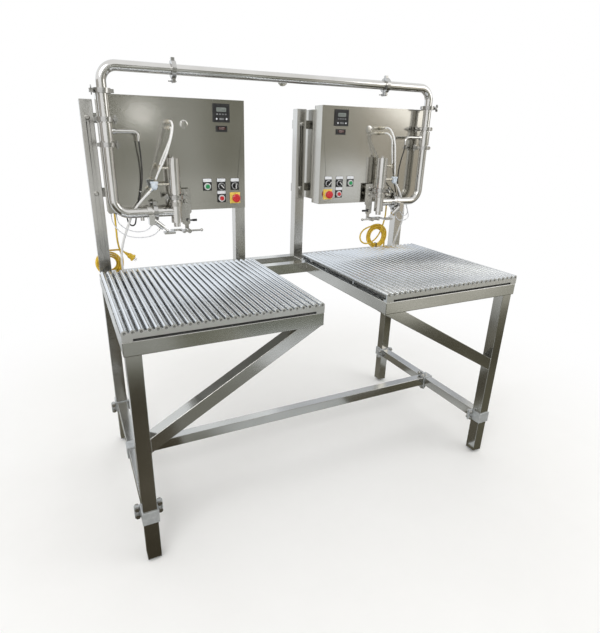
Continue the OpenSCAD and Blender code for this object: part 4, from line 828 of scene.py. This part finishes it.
lamp("key", (-2.4, -2.6, 3.6), (0, 0, 0.9), 2.2, 45)
lamp("fill", (3.2, -2.2, 2.6), (0.2, 0, 0.9), 2.4, 20)
lamp("back", (0.5, 3.0, 3.2), (0, 0, 1.2), 2.0, 15).visible_glossy = False

# %% [markdown]
# ## What the steel mirrors
# Polished steel shows its surroundings, so a white room would leave it flat: photographers place grey and
# dark cards out of frame, and their reflections draw the edges. Here walls and floor patches stand for a
# workshop; under the tables, dark patches are painted shade and one pale patch is a painted reflection. They
# glow in blotches of two tones, and they are stage objects that only reflections can see.

# %% Blotches: two tones that a workshop's walls and floor change between
def make_blotches():
    tones = [(label, "NodeSocketColor", (0.5, 0.5, 0.5, 1)) for label in ("Dark", "Light")]
    tree, given, made = new_group("Blotches", [*tones, ("Scale", "NodeSocketFloat", 0.8),
                                               ("Stretch", "NodeSocketVector", (1, 1, 1))], ["Colour"])
    place = add(tree, "TexCoord")
    along = add(tree, "VectorMath", {0: place.outputs["Object"], 1: given.outputs["Stretch"]},
                operation="MULTIPLY")
    noise = add(tree, "TexNoise",
                {"Vector": along.outputs[0], "Scale": given.outputs["Scale"], "Detail": 1.0})
    spread = add(tree, "MapRange", {"Value": noise.outputs[0], "From Min": 0.36, "From Max": 0.64},
                 interpolation_type="SMOOTHSTEP")
    colour = mix(tree, spread.outputs[0], given.outputs["Dark"], given.outputs["Light"])
    tree.links.new(colour, made.inputs["Colour"])
    return tree


blotches = make_blotches()
print("group", blotches.name)

# %% Cards that only reflections see
def card(name, corners, dark, light, scale, stretch=EVEN):
    """A glowing sheet, blotched between two tones as a workshop is."""
    skin = bpy.data.materials.new(name)
    skin.use_nodes = True
    tree = skin.node_tree
    tree.nodes.clear()
    tone = use(tree, blotches, Dark=(*dark, 1), Light=(*light, 1), Scale=scale, Stretch=stretch)
    glow = add(tree, "Emission", {"Color": tone.outputs["Colour"], "Strength": 1.0})
    out = add(tree, "OutputMaterial")
    tree.links.new(glow.outputs[0], out.inputs["Surface"])
    made = quad(name, corners, skin)
    made.visible_camera = made.visible_diffuse = made.visible_shadow = made.visible_transmission = False


def wall(name, a, b, low, top, dark, light, scale=0.8, stretch=(1, 1, 0.35)):
    card(name, [(*a, low), (*b, low), (*b, top), (*a, top)], dark, light, scale, stretch)


BAND = (1, 1, 0.1)
wall("card_front", (-0.6, -4.2), (2.4, -4.2), 0.95, 3.2, (0.23, 0.228, 0.185), (0.45, 0.455, 0.425),
     2.2, BAND)
wall("card_foot", (-0.6, -4.2), (2.4, -4.2), 0.0, 0.95, (0.36, 0.358, 0.32), (0.70, 0.71, 0.69), 2.2, BAND)
wall("card_corner", (2.4, -4.2), (5.2, -3.4), 0.0, 3.2, (0.41, 0.40, 0.35), (0.60, 0.54, 0.45), 1.6, BAND)
wall("card_lamp", (-0.06, -4.15), (0.20, -4.15), 1.65, 1.80, (3.0, 3.2, 3.4), (3.6, 3.6, 3.6))
wall("card_door", (2.62, -4.05), (3.30, -3.80), 0.50, 1.15, (0.85, 0.88, 0.90), (1.2, 1.22, 1.24))
wall("card_left", (-3.4, 3.0), (-3.4, -1.2), 0.0, 2.2, (0.20, 0.18, 0.15), (0.55, 0.53, 0.50))
wall("card_right", (4.0, -2.2), (4.0, 3.0), 0.0, 2.2, (0.20, 0.18, 0.14), (0.55, 0.53, 0.48))
wall("card_back", (4.5, 3.6), (-0.4, 3.6), 0.0, 1.5, (0.28, 0.28, 0.25), (0.60, 0.60, 0.58))
wall("card_pale", (-0.4, 3.6), (-4.0, 3.6), 0.0, 1.5, (0.72, 0.75, 0.78), (0.95, 0.97, 1.0))
wall("card_high", (5.5, 3.65), (1.5, 3.65), 1.5, 4.4, (0.50, 0.525, 0.57), (0.72, 0.75, 0.80))
wall("card_window", (1.5, 3.65), (-4.0, 3.65), 1.5, 4.4, (0.86, 0.90, 0.95), (1.10, 1.14, 1.18))


def patch(name, x0, x1, y0, y1, dark, light, scale=1.1, z=0.001):
    """A card that lies on the floor, where the fronts of the legs and beams find their tone."""
    card(name, [(x0, y0, z), (x1, y0, z), (x1, y1, z), (x0, y1, z)], dark, light, scale)


patch("floor_left", -4.0, -0.55, -1.95, 0.3, (0.065, 0.056, 0.038), (0.15, 0.135, 0.105))
patch("floor_mid", -0.55, 0.75, -1.95, 0.0, (0.24, 0.24, 0.21), (0.62, 0.65, 0.66), 1.6)
patch("floor_right", 0.75, 4.0, -1.95, 0.0, (0.055, 0.05, 0.035), (0.15, 0.142, 0.102))
patch("floor_behind", -4, 4, 0.0, 3.5, (0.42, 0.43, 0.42), (0.78, 0.81, 0.83))
# under the tables: floor_shade and floor_leg_shade are painted shade seen in reflections, floor_rail_light a
# painted reflection of light
patch("floor_shade", -0.9, 0.95, -0.12, 1.7, (0.085, 0.078, 0.058), (0.24, 0.23, 0.19), 1.4, 0.002)
patch("floor_leg_shade", 0.45, 0.80, -0.37, -0.12, (0.06, 0.055, 0.04), (0.14, 0.13, 0.10), 1.1, 0.002)
patch("floor_rail_light", 0.47, 0.68, -0.13, 0.42, (0.45, 0.46, 0.45), (0.62, 0.63, 0.62), 1.1, 0.003)
patch("floor_far", -4, 4, -4.1, -1.95, (0.16, 0.165, 0.12), (0.36, 0.36, 0.31), 0.9)
patch("floor_pale", -1.4, -0.30, -2.95, -2.10, (0.42, 0.43, 0.405), (0.72, 0.73, 0.71), 1.1, 0.002)
patch("floor_green", 0.25, 1.5, -2.95, -2.10, (0.11, 0.125, 0.085), (0.19, 0.205, 0.155), 1.1, 0.002)
patch("floor_light", 0.15, 0.95, -2.2, -1.7, (0.70, 0.74, 0.78), (0.95, 0.98, 1.02), 1.1, 0.003)
patch("floor_beige", 1.6, 3.6, -2.9, -2.1, (0.55, 0.545, 0.48), (0.78, 0.77, 0.70), 1.1, 0.002)

# %% [markdown]
# ## Dressing the CAD nodes
# The CAD shapes are right, so they stay and get finishes. CAD edges are perfectly sharp, and real ones
# catch the light: a Bevel modifier rounds them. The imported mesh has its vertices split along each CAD
# face, so Weld joins them first. Round parts only need smooth shading that breaks at real edges.

# %% Smooth shading, welds and bevels
SHARP, CREASE, JOIN = math.radians(40), math.radians(34), 0.00002


def dress(names, skin, width=0.0, segments=2):
    for name in names:
        thing = nodes[name]
        data = thing.data
        data.materials.clear()
        data.materials.append(finish[skin])
        data.polygons.foreach_set("use_smooth", [True] * len(data.polygons))
        data.polygons.foreach_set("material_index", [0] * len(data.polygons))
        weld = thing.modifiers.new("weld", "WELD")
        weld.merge_threshold = JOIN
        if width:
            soft = thing.modifiers.new("edges", "BEVEL")
            soft.width = width
            soft.segments = segments
            soft.limit_method = "ANGLE"
            soft.angle_limit = SHARP
            thing.modifiers.new("even", "WEIGHTED_NORMAL").weight = 100
        else:
            split = thing.modifiers.new("split", "EDGE_SPLIT")
            split.split_angle = CREASE


def pair(*names):
    return [f"{station}_{name}" for name in names for _, station in STATIONS]


TUBE_EDGE = 0.003
dress(["front_legs", "rear_posts"], "tube_z", TUBE_EDGE, 3)
dress(["rear_rails", "lower_stretcher", "braces", "table_frames"], "tube_x", TUBE_EDGE, 3)
dress(["lower_side_rails"], "tube_y", TUBE_EDGE, 3)
dress(["tube_clamps"], "strap", 0.0012)
dress(["mount_straps"], "tube_x", 0.0012)
dress(["frame_bolts"], "bolts", 0.0008)
dress(["enclosure_covers", "enclosure_backs"], "sheet", 0.0008)
dress(["drip_trays"], "tray")
dress(pair("grate"), "rods")
dress(["manifold_pipe", "upper_pipes", "flow_meters", "lower_pipes", "valve_bodies", "actuators"], "polished")
dress(pair("fill_stem", "clamp_rod"), "polished")
dress(["tri_clamps"], "union", 0.0006)
dress(["wing_nuts"], "union", 0.0012)
dress(["head_brackets", *pair("spout_fork")], "bolts", 0.0006)
dress(["clamp_cylinders"], "polished")
dress(["panel_hardware"], "bezel", 0.0014, 3)
dress(["air_fittings"], "nickel", 0.0004)
dress(["leg_feet"], "rubber", 0.0012, 3)
dress(["seals"], "rubber")
dress(["panel_instruments"], "black", 0.0008)
dress(["legend_plates"], "black", 0.0004)
dress(["cable_glands", *pair("cap_lever")], "black", 0.0006)
dress(["solenoid_banks"], "grey_block", 0.0008)
dress(["estop_plates"], "yellow", 0.0003)
dress(pair("start_button"), "green", 0.0014, 3)
dress(pair("stop_button"), "red", 0.0014, 3)
dress(pair("estop_head"), "red", 0.0018, 3)
dress(pair("mode_selector", "pump_selector"), "black", 0.0008)
print("finishes on", sum(bool(thing.modifiers) for thing in nodes.values()), "nodes")

# %% [markdown]
# ## A second finish on some faces
# Some CAD nodes are one piece with two surfaces: a comb bar is ground where its rods are polished, and the
# table beams are dull where a grate rests, and dark there as painted shade in the gap under the comb bars.
# Two objects would be one way, but the mesh isn't to be cut, so a test on the place of each face picks the
# faces that take another material.

# %% Paint faces by where they are
def paint(name, skin, test):
    """Gives the faces whose centre passes the test another finish."""
    data = nodes[name].data
    data.materials.append(finish[skin])
    picked = [face for face in data.polygons if test(face.center * 1000)]
    for face in picked:
        face.material_index = len(data.materials) - 1
    print(name, skin, len(picked), "faces")


def in_valve(c):
    return math.hypot(abs(c.x) + VALVE[0], c.y - VALVE[1]) < 14.3 and 1280 < c.z < 1319


def from_instrument(c):
    """How far a face in the row of keys is from the instrument's middle; other faces are far away."""
    return abs(abs(c.x) - INSTRUMENT_X) if abs(c.z - KEY_Z) < 4 else 1000


def in_side_beam(c):
    return min(abs(abs(c.x) - x) for x in SIDE_BEAMS) < 26 and c.z < TABLE_Z - 1


PLUG_X, PLUG_Z, BLOCKS_Y, KEY_Z = 455, 1537, 240, 1562
SIDE_BEAMS, TABLE_Z, TABLE_Y = (818, 163), 901, -87
paint("panel_hardware", "satin", lambda c: abs(abs(c.x) - PLUG_X) < 20 and abs(c.z - PLUG_Z) < 20)
paint("panel_hardware", "grey_block", lambda c: c.y > BLOCKS_Y)
paint("air_fittings", "blue_body", in_valve)
paint("panel_instruments", "key", lambda c: from_instrument(c) < 12)
paint("leg_feet", "strap", lambda c: 8.5 < c.z < 12.5)
paint("panel_instruments", "tag", lambda c: 17 < from_instrument(c) < 26)
# tops of the front and back beams: painted shade, so the gap under the comb bars stays dark
paint("table_frames", "seat", lambda c: c.z > TABLE_Z - 0.5 and abs(c.y - TABLE_Y) > 200)
for grate in pair("grate"):
    paint(grate, "comb", lambda c: c.y < GRATE_Y[0] + 0.5 or c.y > GRATE_Y[1] - 0.5)
paint("table_frames", "tube_y", in_side_beam)
bare = [n for n, o in nodes.items() if not o.modifiers and not o.hide_render]
print("dressed", len(nodes) - len(bare), "left:", bare)
